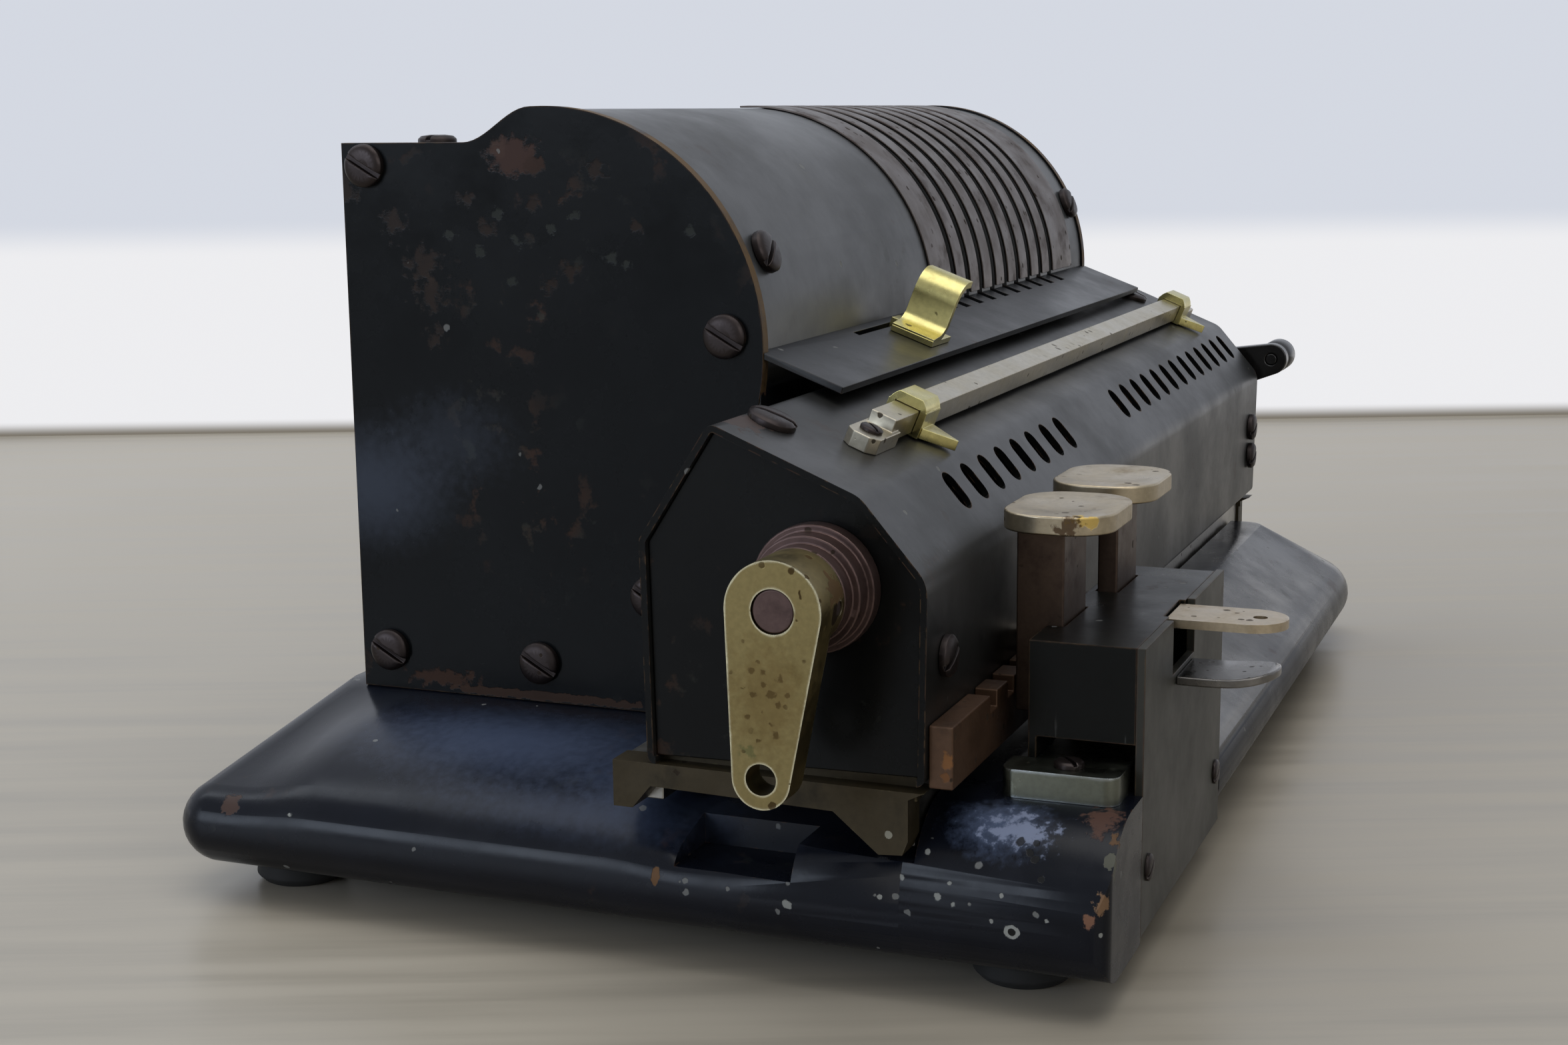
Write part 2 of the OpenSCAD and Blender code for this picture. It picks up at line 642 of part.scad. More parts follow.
// Key box on the base's front left, with its front plate, stop plate and screws
module key_box() {
    wall_low = 8.7;
    drop = stem_low + key_travel + 0.4;
    color([0.06, 0.065, 0.07]) difference() {
        translate([box_x0, base_y0 + front_t, deck_h]) cube([box_w, box_d - front_t, box_top - deck_h]);
        translate([box_x0 + box_t, base_y0 - cut, deck_h - cut])
            cube([box_w - 2 * box_t, box_d + cut - box_t, box_top - deck_h + cut - box_t]);
        translate([box_x0 - cut, base_y0 - cut, deck_h - cut]) cube([2 * cut + box_t, box_d + cut - box_t, wall_low + cut]);
        translate([near_key_x - stem_w / 2 - key_gap, near_key_y - near_stem_d / 2 - key_gap, box_top - drop])
            cube([stem_w + 2 * key_gap, 2 * near_stem_d, drop + cut]);
        translate([far_key_x - stem_w / 2 - key_gap, far_key_y - far_stem_d / 2 - key_gap, box_top - drop])
            cube([stem_w + 2 * key_gap, far_stem_d + 2 * key_gap, drop + cut]);
        translate([lever_x - lever_w / 2 - 0.6, base_y0 - cut, box_top - 4])
            cube([lever_w + 1.2, tab_back + 0.4 + cut, 8]);
        translate([lever_x - 2.8, box_y1 - box_t - cut, box_top - 14]) cube([5.6, box_t + 2 * cut, 11.2]);
    }
    color([0.06, 0.065, 0.07]) for (x = [lever_x - lever_w / 2 - 3.4, lever_x + lever_w / 2 + 0.8])
        translate([0, pivot_y, 0]) difference() {
            translate([x, -3.6, pivot_z - 4]) cube([2.6, 7.2, box_top - box_t - pivot_z + 4]);
            translate([0, 0, pivot_z]) rod_x(x - cut, x + 4, pin_r + run_gap);
        }
}
module front_plate() {
    slot_h = 10;
    slot_l = 18.7;
    color([0.07, 0.07, 0.075]) difference() {
        translate([box_x0, base_y0, lip_gap + 1]) cube([box_w + 2, front_t, box_top - lip_gap - 1]);
        translate([lever_x - 10, base_y0 - cut, box_top - slot_h])
            cube([slot_l, front_t + 2 * cut, slot_h + cut]);
        for (x = front_screw_x) translate([x, base_y0 - cut, front_screw_z]) rotate([-90, 0, 0])
            cylinder(h = front_t + 2 * cut, r = 1.5);
    }
}
front_screw_x = [box_x0 + 4.5, box_x1 - 3];
front_screw_z = deck_h - 14;
stop_screw = [box_x0 - 3.5, base_y0 + 12];
stop_t = 5;
module stop_plate() {
    x0 = box_x0 - 8.3;
    y0 = base_y0 + 2.5;
    inner_l = 18;
    d = 20.3;
    r = 2.5;
    color([0.55, 0.54, 0.47]) difference() {
        union() {
            for (y = [y0 + r, y0 + d - r]) translate([x0 + r, y, deck_h]) cylinder(h = stop_t, r = r);
            translate([x0, y0 + r, deck_h]) cube([2 * r, d - 2 * r, stop_t]);
            translate([x0 + r, y0, deck_h]) cube([box_x0 - x0 - r - 0.1, d, stop_t]);
            translate([box_x0 - cut, y0, deck_h]) cube([inner_l, box_y1 - box_t - 0.1 - y0, stop_t]);
        }
        translate([stop_screw[0], stop_screw[1], deck_h - cut]) cylinder(h = 8, r = 1.5);
    }
}
module box_screws() {
    color([0.3, 0.27, 0.24]) {
        translate([stop_screw[0], stop_screw[1], deck_h + stop_t]) rotate([0, 0, 40]) screw(2.6, 1.3, 1.4, 7);
        for (x = front_screw_x) translate([x, base_y0, front_screw_z]) rotate([90, 0, 0])
            rotate([0, 0, 30]) screw(2.4, 0.9, 1.4, 5);
    }
}
module finger_rest() {
    z0 = box_top - 11.6;
    half = 7.5;
    reach = 17.3;
    path = concat([[0, z0]], arc([-5, z0 + 52], 52, 270, 256, 6));
    color([0.5, 0.48, 0.42]) translate([lever_x, base_y0, 0]) intersection() {
        along_x(-half, half) polygon(ribbon(path, lever_t));
        translate([0, 0, z0 - 3]) linear_extrude(height = 9) union() {
            translate([0, half - reach]) circle(r = half);
            translate([-half, half - reach]) square([2 * half, reach - half]);
        }
    }
}

// Carriage body: bronze end frames with feet, runners, bent sheet cover, end plates
foot_pts_2d = [[31.5, -33.2], [38.2, -33.2], [38.2, -41.5], [34.6, -41.5], [31.1, -37.3], [-2.4, -38.1],
    [-10.4, -44.7], [-14.6, -44.4], [-15.6, -41.9], [-15.6, -34.8], [-18.4, -33.4]];
function mirror_x(x) = car_x0 + car_x1 - x;
module end_frame() {
    difference() {
        union() {
            along_x(car_x0, car_x0 + frame_t) polygon(concat(foot_pts_2d, [[-18.4, -32.5 - rim]]));
            along_x(car_x0 + web_x, car_x0 + web_x + web_t) polygon(shell_pts(sheet_t + slide_gap));
            along_x(car_x0 + web_x, car_x0 + frame_t) translate([-16, -36]) square([46, 6]);
        }
        rod_x(car_x0 - cut, car_x0 + 10, clear_r + run_gap);
    }
}
module frame_left() { color([0.42, 0.36, 0.22]) at_shaft() end_frame(); }
module frame_right() {
    color([0.42, 0.36, 0.22]) translate([car_x0 + car_x1, 0, 0]) mirror([1, 0, 0]) at_shaft() end_frame();
}
module slide_runners() {
    low = [foot_front_z, foot_rear_z];
    color([0.3, 0.28, 0.26]) for (i = [0, 1])
        translate([car_x0 + frame_t, rail_y[i] - rail_w / 2 - 0.4, rail_top[i] + slide_gap])
            cube([car_x1 - car_x0 - 2 * frame_t, rail_w + 0.8, car_bottom - 0.4 - rail_top[i] - slide_gap]);
}
module window(x) {
    on_chamfer(x, 6.5) translate([0, 0, -4]) linear_extrude(height = 8) {
        for (s = [-1, 1]) translate([0, s * (window_h - window_w) / 2]) circle(r = window_w / 2);
        square([window_w, window_h - window_w], center = true);
    }
}
skirt_l = 12;
module carriage_cover() {
    color([0.07, 0.075, 0.085]) difference() {
        at_shaft() along_x(car_x0, car_x1) difference() {
            polygon(shell_pts(0));
            polygon(shell_pts(sheet_t));
            translate([-17, -40]) square([47, 12]);
        }
        at_shaft() along_x(car_x0 + skirt_l, car_x1 - skirt_l) translate([24, -40]) square([20, 45]);
        for (k = [0:counter_n - 1]) window(counter_x(k));
        for (k = [0:result_n - 1]) window(result_x(k));
        for (x = top_screw_x) on_slope(x, top_screw_u) translate([0, 0, -4]) cylinder(h = 8, r = shank_r + hole_gap);
        for (x = bar_screw_x) on_slope(x, bar_u) translate([0, 0, -4]) cylinder(h = 8, r = 1.3);
        for (p = front_screws) translate([p[0], car_front - cut, shaft_z + p[1]]) rotate([-90, 0, 0])
            cylinder(h = 4, r = shank_r + hole_gap);
    }
}
top_screw_x = [car_x0 + 16.4, car_x1 - 16.4];
top_screw_u = 5;
front_screws = [[car_x0 + 9.8, -12.3], [car_x1 - 9.8, -12.3], [car_x1 - 9.8, -20.4]];
module end_plate() {
    along_x(car_x0 + rim, car_x0 + web_x) difference() {
        polygon(shell_pts(sheet_t + slide_gap));
        circle(r = clear_r + 0.6);
        translate([-20, -34]) square([60, 1.4]);
    }
}
module end_plate_left() { color([0.05, 0.05, 0.055]) at_shaft() end_plate(); }
module end_plate_right() {
    color([0.05, 0.05, 0.055]) translate([car_x0 + car_x1, 0, 0]) mirror([1, 0, 0]) at_shaft() end_plate();
}

// Index rack with its notches along the carriage's front foot
module index_rack() {
    rack_x0 = car_x0 + 1.6;
    color([0.35, 0.2, 0.13]) difference() {
        translate([rack_x0, rack_y, rack_top - rack_h])
            cube([lever_x + 4 * digit_pitch + 9 - rack_x0, rack_t, rack_h]);
        for (i = [-3:4]) translate([lever_x + i * digit_pitch - notch_w / 2, rack_y - cut, rack_top - notch_d])
            cube([notch_w, rack_t + 2 * cut, notch_d + cut]);
    }
}
module shaft_collars() {
    color([0.3, 0.24, 0.2]) at_shaft() {
        difference() {
            union() {
                rod_x(car_x0 + rim - 3.4, car_x0 + rim, 10.8);
                rod_x(car_x0 + rim - 6.8, car_x0 + rim, 9.6);
                rod_x(collar_x, car_x0 + rim, 8.2);
            }
            rod_x(collar_x - cut, car_x0 + rim + cut, clear_r + run_gap);
        }
        difference() {
            union() {
                rod_x(car_x1 - rim, car_x1 - rim + 2.4, 9.6);
                rod_x(car_x1 - rim, car_x1 - rim + 5, 7.4);
            }
            rod_x(car_x1 - rim - cut, car_x1 + 6, clear_r + run_gap);
        }
    }
}

// Decimal bar on the carriage top, its end tabs screwed down
bar_u = 18.6;
bar_w = 5;
bar_h = 4.4;
bar_lift = 1;
bar_x = [car_x0 + 33, car_x1 - 18];
bar_tab_h = 3;
bar_screw_x = [bar_x[0] - 4.4, bar_x[1] + 4.4];
module decimal_bar() {
    tab = [[-3.2, -3.2], [7.4, -3.2], [9, -1.6], [9, 1.6], [7.4, 3.2], [-3.2, 3.2]];
    color([0.6, 0.58, 0.5]) difference() {
        union() {
            on_slope(bar_x[0], bar_u) translate([0, -bar_w / 2, bar_lift]) cube([bar_x[1] - bar_x[0], bar_w, bar_h]);
            on_slope(bar_x[0], bar_u) mirror([1, 0, 0]) linear_extrude(height = bar_tab_h) polygon(tab);
            on_slope(bar_x[1], bar_u) linear_extrude(height = bar_tab_h) polygon(tab);
        }
        for (x = bar_screw_x) on_slope(x, bar_u) translate([0, 0, -cut]) cylinder(h = 8, r = 1.3);
    }
}
module carriage_screws() {
    color([0.28, 0.22, 0.19]) {
        for (x = top_screw_x) on_slope(x, top_screw_u) rotate([0, 0, 100]) screw(screw_r + 0.2, 1.7, shank_r, 3);
        for (x = bar_screw_x) on_slope(x, bar_u) translate([0, 0, bar_tab_h]) rotate([0, 0, 50]) screw(2.1, 0.9, 1.2, bar_tab_h + 1);
        for (p = front_screws) translate([p[0], car_front + 0.1, shaft_z + p[1]]) rotate([90, 0, 0])
            rotate([0, 0, 25]) screw(3.6, 1.8, shank_r, 2);
    }
}

// Clearing shafts, meeting in a bearing between the two sets of number wheels
module centre_bearing() {
    color([0.5, 0.42, 0.25]) at_shaft() difference() {
        along_x(shaft_gap_x - 2, shaft_gap_x + 2) union() {
            circle(r = 8);
            translate([-4, -33.5]) square([8, 33.5]);
            translate([-15.6, -33.5]) square([19.6, 5]);
        }
        rod_x(shaft_gap_x - 3, shaft_gap_x + 3, clear_r + run_gap);
    }
}
module dial(x) {
    translate([x, 0, 0]) difference() {
        union() {
            rod_x(-4.6, 4.6, dial_r);
            rod_x(4.8 - digit_pitch, -4.5, 6);
        }
        rod_x(-digit_pitch, 6, clear_r + run_gap);
        for (a = [0:36:324]) rotate([a, 0, 0]) translate([1.6, 0, dial_r * 0.62]) rod_x(0, 3.4, 1.6);
    }
}
module counter_shaft() {
    color([0.3, 0.2, 0.17]) at_shaft() rod_x(counter_face + 0.3, shaft_gap_x - 0.2, clear_r);
}
module counter_dials() {
    color([0.85, 0.83, 0.76]) at_shaft() for (k = [0:counter_n - 1]) dial(counter_x(k));
}
counter_lean = 4.7;
module counter_crank() {
    head_r = 8.2;
    foot_r2 = 5;
    color([0.52, 0.47, 0.33]) at_shaft() rotate([counter_lean, 0, 0]) difference() {
        union() {
            along_x(counter_face, counter_face + counter_arm_t) taper_arm(counter_arm, head_r, foot_r2);
            rod_x(counter_face, collar_x - 0.4, head_r);
        }
        rod_x(counter_face - cut, collar_x + cut, clear_r + run_gap);
        translate([0, 0, -counter_arm]) rod_x(counter_face - cut, collar_x + cut, knob_hole_r);
        translate([counter_face + 8.2, -head_r - cut, 0]) rotate([-90, 0, 0]) cylinder(h = 2 * head_r + 2 * cut, r = 1.3);
    }
}
module counter_crank_pin() {
    color([0.4, 0.36, 0.3]) at_shaft() rotate([counter_lean, 0, 0]) translate([counter_face + 8.2, 0, 0]) {
        translate([0, -8, 0]) rotate([-90, 0, 0]) cylinder(h = 8 - clear_r - 0.05, r = 1.25);
        translate([0, clear_r + 0.05, 0]) rotate([-90, 0, 0]) cylinder(h = 8 - clear_r - 0.05, r = 1.25);
    }
}
module result_shaft() {
    color([0.3, 0.2, 0.17]) at_shaft() rod_x(shaft_gap_x + 0.2, result_face + result_arm_t, clear_r);
}
module result_dials() {
    color([0.85, 0.83, 0.76]) at_shaft() for (k = [0:result_n - 1]) dial(result_x(k));
}
result_a = 76;
module result_crank() {
    color([0.5, 0.47, 0.38]) at_shaft() rotate([result_a, 0, 0]) difference() {
        along_x(result_face, result_face + result_arm_t) rotate(180) taper_arm(result_arm, 7, 4.4);
        rod_x(result_face - cut, result_face + 6, clear_r + run_gap);
        translate([0, 0, result_arm]) rod_x(result_face - cut, result_face + 6, 1.6 + run_gap);
    }
}
module result_knob() {
    color([0.03, 0.03, 0.03]) at_shaft() rotate([result_a, 0, 0]) translate([result_face, 0, result_arm])
        rotate([0, 90, 0]) rotate_extrude() polygon(concat([[0, 0], [1.6, 0], [1.6, result_arm_t],
            [3.4, result_arm_t], [3.4, result_arm_t + 1.5]],
            [[knob_r, result_arm_t + 4]], arc([knob_r - 2, result_arm_t + 11], 2, 0, 90, 4),
            [[0, result_arm_t + 13]]));
}

// Two keys with flat stems, standing in the top and the rear wall of the key box
module key_cap() {
    dish_r = 60;
    dish = 0.6;
    difference() {
        linear_extrude(height = cap_t) {
            for (x = [-1, 1], y = [-1, 1]) translate([x * (cap_w / 2 - cap_r), y * (cap_d / 2 - cap_r)])
                circle(r = cap_r);
            square([cap_w, cap_d - 2 * cap_r], center = true);
            square([cap_w - 2 * cap_r, cap_d], center = true);
        }
        translate([0, 0, cap_t - dish + dish_r]) sphere(r = dish_r);
    }
}
module key(x, y, d, cap_x) {
    translate([x - stem_w / 2, y - d / 2, box_top - stem_low]) cube([stem_w, d, stem_low + cap_h - cap_t + 0.2]);
    translate([cap_x, cap_y, box_top + cap_h - cap_t]) key_cap();
}
module near_key() {
    color([0.55, 0.52, 0.42]) key(near_key_x, near_key_y, near_stem_d, near_cap_x);
}
module far_key() {
    color([0.55, 0.52, 0.42]) key(far_key_x, far_key_y, far_stem_d, far_cap_x);
}

// Shift lever: thumb tab in front, pivot in the box, pawl over the rack behind
module shift_lever() {
    tab_top = box_top - 0.6;
    under = box_top - box_t - 0.7;
    pawl_y = rack_y + rack_t / 2;
    pawl_low = rack_top + 0.5;
    arm_w = 4;
    color([0.6, 0.57, 0.48]) difference() {
        union() {
            translate([lever_x - lever_w / 2, base_y0 - tab_l + lever_w / 2, tab_top - lever_t])
                cube([lever_w, tab_l - lever_w / 2 + tab_back, lever_t]);
            translate([lever_x, base_y0 - tab_l + lever_w / 2, tab_top - lever_t]) cylinder(h = lever_t, r = lever_w / 2);
            along_x(lever_x - arm_w / 2, lever_x + arm_w / 2) polygon([[base_y0, tab_top - lever_t / 2],
                [base_y0 + 1.4, tab_top - lever_t / 2], [base_y0 + 2.4, under], [pivot_y + 2.5, pivot_z + 2.6],
                [pawl_y + 1.4, pivot_z + 1.2], [pawl_y + 1.4, pawl_low], [pawl_y - 1.4, pawl_low],
                [pawl_y - 1.4, pivot_z - 2], [pivot_y, pivot_z - 3], [pivot_y - 3, pivot_z - 1]]);
            translate([0, pivot_y, pivot_z]) rod_x(lever_x - arm_w / 2 - 1.4, lever_x + arm_w / 2 + 1.4, 3);
            translate([0, pivot_y, pivot_z]) rod_x(lever_x - lever_w / 2 - 3.2, lever_x + lever_w / 2 + 3.2, pin_r);
        }
        translate([lever_x, base_y0 - tab_l + 5, tab_top - 4]) cylinder(h = 8, r = 1.3);
    }
}

// Brass pointers that slide on the decimal bar, and the thumb marker on the shelf
module bar_marker(x) {
    l = 8.4;
    wall = 1.3;
    gap = slide_gap;
    half = bar_w / 2 + gap + wall;
    top = bar_lift + bar_h + gap;
    color([0.75, 0.62, 0.28]) on_slope(x, bar_u) difference() {
        union() {
            along_x(-l / 2, l / 2) {
                translate([-half, 0.4]) square([2 * half, top - 0.4]);
                intersection() {
                    translate([0, top - 1.2]) circle(r = half);
                    translate([-half, top - 0.5]) square([2 * half, 2.4]);
                }
            }
            translate([0, 0, 0.4]) linear_extrude(height = 2)
                polygon([[-3.4, -half + 0.5], [3.4, -half + 0.5], [0.15, -half - 6.4], [-0.15, -half - 6.4]]);
        }
        along_x(-l, l) translate([-bar_w / 2 - gap, bar_lift - gap]) square([bar_w + 2 * gap, bar_h + 2 * gap]);
    }
}
near_marker_x = bar_x[0] + 17;
far_marker_x = bar_x[1] - 8;
module near_marker() { bar_marker(near_marker_x); }
module far_marker() { bar_marker(far_marker_x); }
shelf_marker_x = 67;
module shelf_marker() {
    strip_w = 9.7;
    strip_u = 9.5;
    foot_w = 12.1;
    neck_l = 5;
    slot_v = strip_u - shelf_slot_u;
    path = concat([[-6.4, 1], [-3.4, 1.4]], arc([-3.4, 5.4], 4, 280, 340, 4), arc([5, 8.6], 4.4, 182, 100, 6), [[7, 12.9]]);
    color([0.78, 0.66, 0.3]) on_shelf(shelf_marker_x, strip_u) {
        translate([0, strip_w / 2, 0]) rotate([90, 0, 0]) linear_extrude(height = strip_w) polygon(ribbon(path, 1.5));
        translate([-6.6, -strip_w / 2, 0.1]) cube([foot_w, strip_w, 1.2]);
        translate([foot_w - 6.6 - neck_l, 0, 0.1]) cube([neck_l, slot_v + marker_neck / 2, 1.2]);
        translate([foot_w - 6.6 - neck_l, slot_v - marker_neck / 2, -shelf_t - 0.3]) cube([neck_l, marker_neck, shelf_t + 1]);
        translate([foot_w - 6.6 - neck_l, slot_v - 1.6, -shelf_t - 0.9]) cube([neck_l, 3.2, 0.7]);
    }
}

place() base_shell();
place() feet();
place() left_plate();
place() right_plate();
place() drum_cover();
place() number_strips();
place() front_shelf();
place() plate_screws();
place() cover_screws();
place() tie_rods();
place() rotor_bearings();
place() crank_rest();
place() carriage_rails();
place() key_box();
place() front_plate();
place() stop_plate();
place() box_screws();
place() finger_rest();
place() rotor_shaft();
place() pinwheels();
place() crank_arm();
place() crank_spindle();
place() crank_grip();
place() setting_lever_1();
place() setting_lever_2();
place() setting_lever_3();
place() setting_lever_4();
place() setting_lever_5();
place() setting_lever_6();
place() setting_lever_7();
place() setting_lever_8();
place() setting_lever_9();
place() frame_left();
place() frame_right();
place() slide_runners();
place() carriage_cover();
place() end_plate_left();
place() end_plate_right();
place() index_rack();
place() shaft_collars();
place() decimal_bar();
place() carriage_screws();
place() centre_bearing();
place() counter_shaft();
place() counter_dials();
place() counter_crank();
place() counter_crank_pin();
place() result_shaft();
place() result_dials();
place() result_crank();
place() result_knob();
place() near_key();
place() far_key();
place() shift_lever();
place() near_marker();
place() far_marker();
place() shelf_marker();
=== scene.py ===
"""Looks of a pinwheel calculating machine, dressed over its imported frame.

Lengths are in millimetres in the machine's own frame: x from the outer face of the left side
plate, y from the drum's axis, z from the table. ``row`` turns them into metres in the row frame.
Every visible piece is a cleaned copy of a CAD node with rounded edges. Every finish is worked out
from the place on the piece, so it stays the same in all views and at all poses.
"""

from __future__ import annotations

import json
import logging
import math
from collections.abc import Callable, Sequence
from dataclasses import dataclass
from enum import Enum
from functools import cached_property

import bmesh
import bpy
import numpy as np
from mathutils import Euler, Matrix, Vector

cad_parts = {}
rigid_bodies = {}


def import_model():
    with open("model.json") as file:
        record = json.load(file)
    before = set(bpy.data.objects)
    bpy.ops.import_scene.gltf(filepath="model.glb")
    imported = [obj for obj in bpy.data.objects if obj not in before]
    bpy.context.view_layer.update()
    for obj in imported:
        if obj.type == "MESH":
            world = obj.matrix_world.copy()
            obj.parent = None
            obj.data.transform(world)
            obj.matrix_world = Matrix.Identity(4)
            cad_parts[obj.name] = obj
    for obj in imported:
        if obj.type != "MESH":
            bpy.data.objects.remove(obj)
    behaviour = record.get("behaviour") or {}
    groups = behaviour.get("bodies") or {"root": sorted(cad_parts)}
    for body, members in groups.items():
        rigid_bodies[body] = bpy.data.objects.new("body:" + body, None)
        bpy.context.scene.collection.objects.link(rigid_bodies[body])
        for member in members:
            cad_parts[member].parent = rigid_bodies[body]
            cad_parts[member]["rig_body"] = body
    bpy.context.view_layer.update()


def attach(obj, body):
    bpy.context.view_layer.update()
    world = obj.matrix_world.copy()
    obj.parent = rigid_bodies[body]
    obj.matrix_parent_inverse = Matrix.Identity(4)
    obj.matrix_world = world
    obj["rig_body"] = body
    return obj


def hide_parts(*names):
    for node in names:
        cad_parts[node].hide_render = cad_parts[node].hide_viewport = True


LOG = logging.getLogger("machine")

MM = 0.001
ORIGIN = np.array([119.7, -39.55, 0.0])  # the row frame's origin, in machine millimetres
MERGE = 2e-6  # metres within which a copied node's loose corners become one
SHARP = 40.0  # degrees above which an edge is shaded as sharp
ROUNDED = 35.0  # degrees above which an edge is rounded

Triple = tuple[float, float, float]
Colour = tuple[float, float, float]
Socket = bpy.types.NodeSocket
Sockets = bpy.types.NodeOutputs
Piece = bpy.types.Object


def row(points: np.ndarray | Sequence[float]) -> np.ndarray:
    """Turn machine millimetres into row metres.

    Args:
        points: One point or an array of points, the last axis being x, y, z.

    Returns:
        The same array in metres in the row frame.
    """
    return (np.asarray(points, dtype=float) - ORIGIN) * MM


# ---- pieces


def link(name: str, mesh: bpy.types.Mesh) -> Piece:
    """Link a mesh as a smooth-shaded object that keeps its sharp edges.

    Args:
        name: Object name.
        mesh: The mesh, already in row metres.

    Returns:
        The new object.
    """
    piece = bpy.data.objects.new(name, mesh)
    bpy.context.scene.collection.objects.link(piece)
    with bpy.context.temp_override(object=piece, active_object=piece, selected_objects=[piece],
                                   selected_editable_objects=[piece]):
        bpy.ops.object.shade_smooth_by_angle(angle=math.radians(SHARP))
    return piece


def bevel(piece: Piece, width: float, steps: int) -> None:
    """Round the sharp edges of a piece.

    Args:
        piece: The piece.
        width: Width of the rounding in millimetres.
        steps: Segments of the rounding.
    """
    rounding = piece.modifiers.new("edge", "BEVEL")
    rounding.width = width * MM
    rounding.segments = steps
    rounding.limit_method = "ANGLE"
    rounding.angle_limit = math.radians(ROUNDED)
    rounding.use_clamp_overlap = True
    rounding.harden_normals = True


def refined(node: str, width: float, steps: int = 2, flat: float = 0.3) -> Piece:
    """Stand a cleaned copy of a CAD node in its place, with rounded edges.

    Args:
        node: CAD node to copy.
        width: Edge rounding in millimetres.
        steps: Segments of the rounding.
        flat: Faces that meet flatter than this many degrees become one.

    Returns:
        The copy, which rides on the node's body and replaces it.
    """
    source = bpy.data.objects[node]
    mesh = source.data.copy()
    mesh.materials.clear()
    work = bmesh.new()
    work.from_mesh(mesh)
    bmesh.ops.remove_doubles(work, verts=work.verts, dist=MERGE)
    bmesh.ops.dissolve_limit(work, angle_limit=math.radians(flat), verts=work.verts,
                             edges=work.edges)
    work.to_mesh(mesh)
    work.free()
    mesh.name = node + "_look"
    piece = link(node + "_look", mesh)
    bevel(piece, width, steps)
    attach(piece, source["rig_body"])
    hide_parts(node)
    return piece


def per_face(piece: Piece, what: str) -> np.ndarray:
    """Read one vector of every face of a piece.

    Args:
        piece: The piece.
        what: "center" or "normal".

    Returns:
        An array of faces x 3, in row metres or as unit vectors.
    """
    values = np.empty(3 * len(piece.data.polygons))
    piece.data.polygons.foreach_get(what, values)
    return values.reshape(-1, 3)


# ---- shader groups


class Pattern(Enum):
    """Names of the shared shader groups."""

    EDGE = "edge wear"
    BLOTCH = "blotches"
    FLECK = "flecks"
    SPOT = "chipped spot"
    GRAIN = "drawn grain"


class Graph:
    """Short hand for adding and joining shader nodes in one tree."""

    def __init__(self, tree: bpy.types.NodeTree) -> None:
        """Keep the tree."""
        self.tree = tree

    def add(self, kind: str, inputs: dict | None = None, **settings: object) -> bpy.types.Node:
        """Add a node.

        Args:
            kind: Node type without its ShaderNode prefix.
            inputs: Socket name or number to a value or to another socket.
            settings: Node properties.

        Returns:
            The node.
        """
        made = self.tree.nodes.new("ShaderNode" + kind)
        for key, value in settings.items():
            setattr(made, key, value)
        for key, value in (inputs or {}).items():
            self.put(made.inputs[key], value)
        return made

    def put(self, socket: Socket, value: object) -> None:
        """Join a socket to another one, or set its value.

        Args:
            socket: The input to feed.
            value: Another socket, a number, a vector, or a colour of three numbers.
        """
        if isinstance(value, Socket):
            self.tree.links.new(value, socket)
        elif isinstance(value, tuple) and socket.type == "RGBA" and len(value) == 3:
            socket.default_value = (*value, 1.0)
        else:
            socket.default_value = value

    @cached_property
    def place(self) -> Socket:
        """Place on the piece, in row metres."""
        return self.add("TexCoord").outputs["Object"]

    def math(self, operation: str, a: object, b: object, clamp: bool = False) -> Socket:
        """Result of a Math node on two numbers or sockets."""
        return self.add("Math", {0: a, 1: b}, operation=operation, use_clamp=clamp).outputs[0]

    def plus(self, a: object, b: object, clamp: bool = False) -> Socket:
        """Sum of two numbers or sockets."""
        return self.math("ADD", a, b, clamp)

    def less(self, a: object, b: object, clamp: bool = False) -> Socket:
        """First number less the second."""
        return self.math("SUBTRACT", a, b, clamp)

    def times(self, a: object, b: object) -> Socket:
        """Product of two numbers or sockets."""
        return self.math("MULTIPLY", a, b)

    def most(self, a: object, b: object) -> Socket:
        """Greater of two numbers or sockets."""
        return self.math("MAXIMUM", a, b)

    def vector(self, operation: str, *values: object) -> Sockets:
        """Outputs Vector and Value of a Vector Math node on one or two vectors."""
        return self.add("VectorMath", dict(enumerate(values)), operation=operation).outputs

    def ramp(self, value: object, low: object, high: object, out_low: float = 0.0,
             out_high: float = 1.0) -> Socket:
        """Smooth step of a value from one range to another.

        Args:
            value: Number or socket.
            low: Value that gives out_low. It may lie above high.
            high: Value that gives out_high.
            out_low: Result at low and beyond it.
            out_high: Result at high and beyond it.

        Returns:
            Socket with the result.
        """
        limits = {0: value, 1: low, 2: high, 3: out_low, 4: out_high}
        return self.add("MapRange", limits, interpolation_type="SMOOTHSTEP").outputs[0]

    def mix(self, factor: object, a: object, b: object) -> Socket:
        """Blend of two colours, which is b where the factor is 1."""
        return self.add("Mix", {0: factor, 6: a, 7: b}, data_type="RGBA",
                        clamp_factor=True).outputs[2]

    def noise(self, scale: object, detail: float = 4.0, rough: float = 0.55,
              at: Socket | None = None) -> Socket:
        """Fractal noise value at the piece's place or another, in waves per metre."""
        return self.add("TexNoise", {"Vector": at or self.place, "Scale": scale,
                                     "Detail": detail, "Roughness": rough}).outputs[0]

    def group(self, pattern: Pattern, **inputs: object) -> Socket:
        """Mask of a shared group.

        Args:
            pattern: Which group; it is built on first use.
            inputs: Values or sockets for its named inputs.

        Returns:
            Socket with the mask, 0 to 1.
        """
        node = self.tree.nodes.new("ShaderNodeGroup")
        node.node_tree = shared(pattern)
        for key, value in inputs.items():
            self.put(node.inputs[key], value)
        return node.outputs[0]


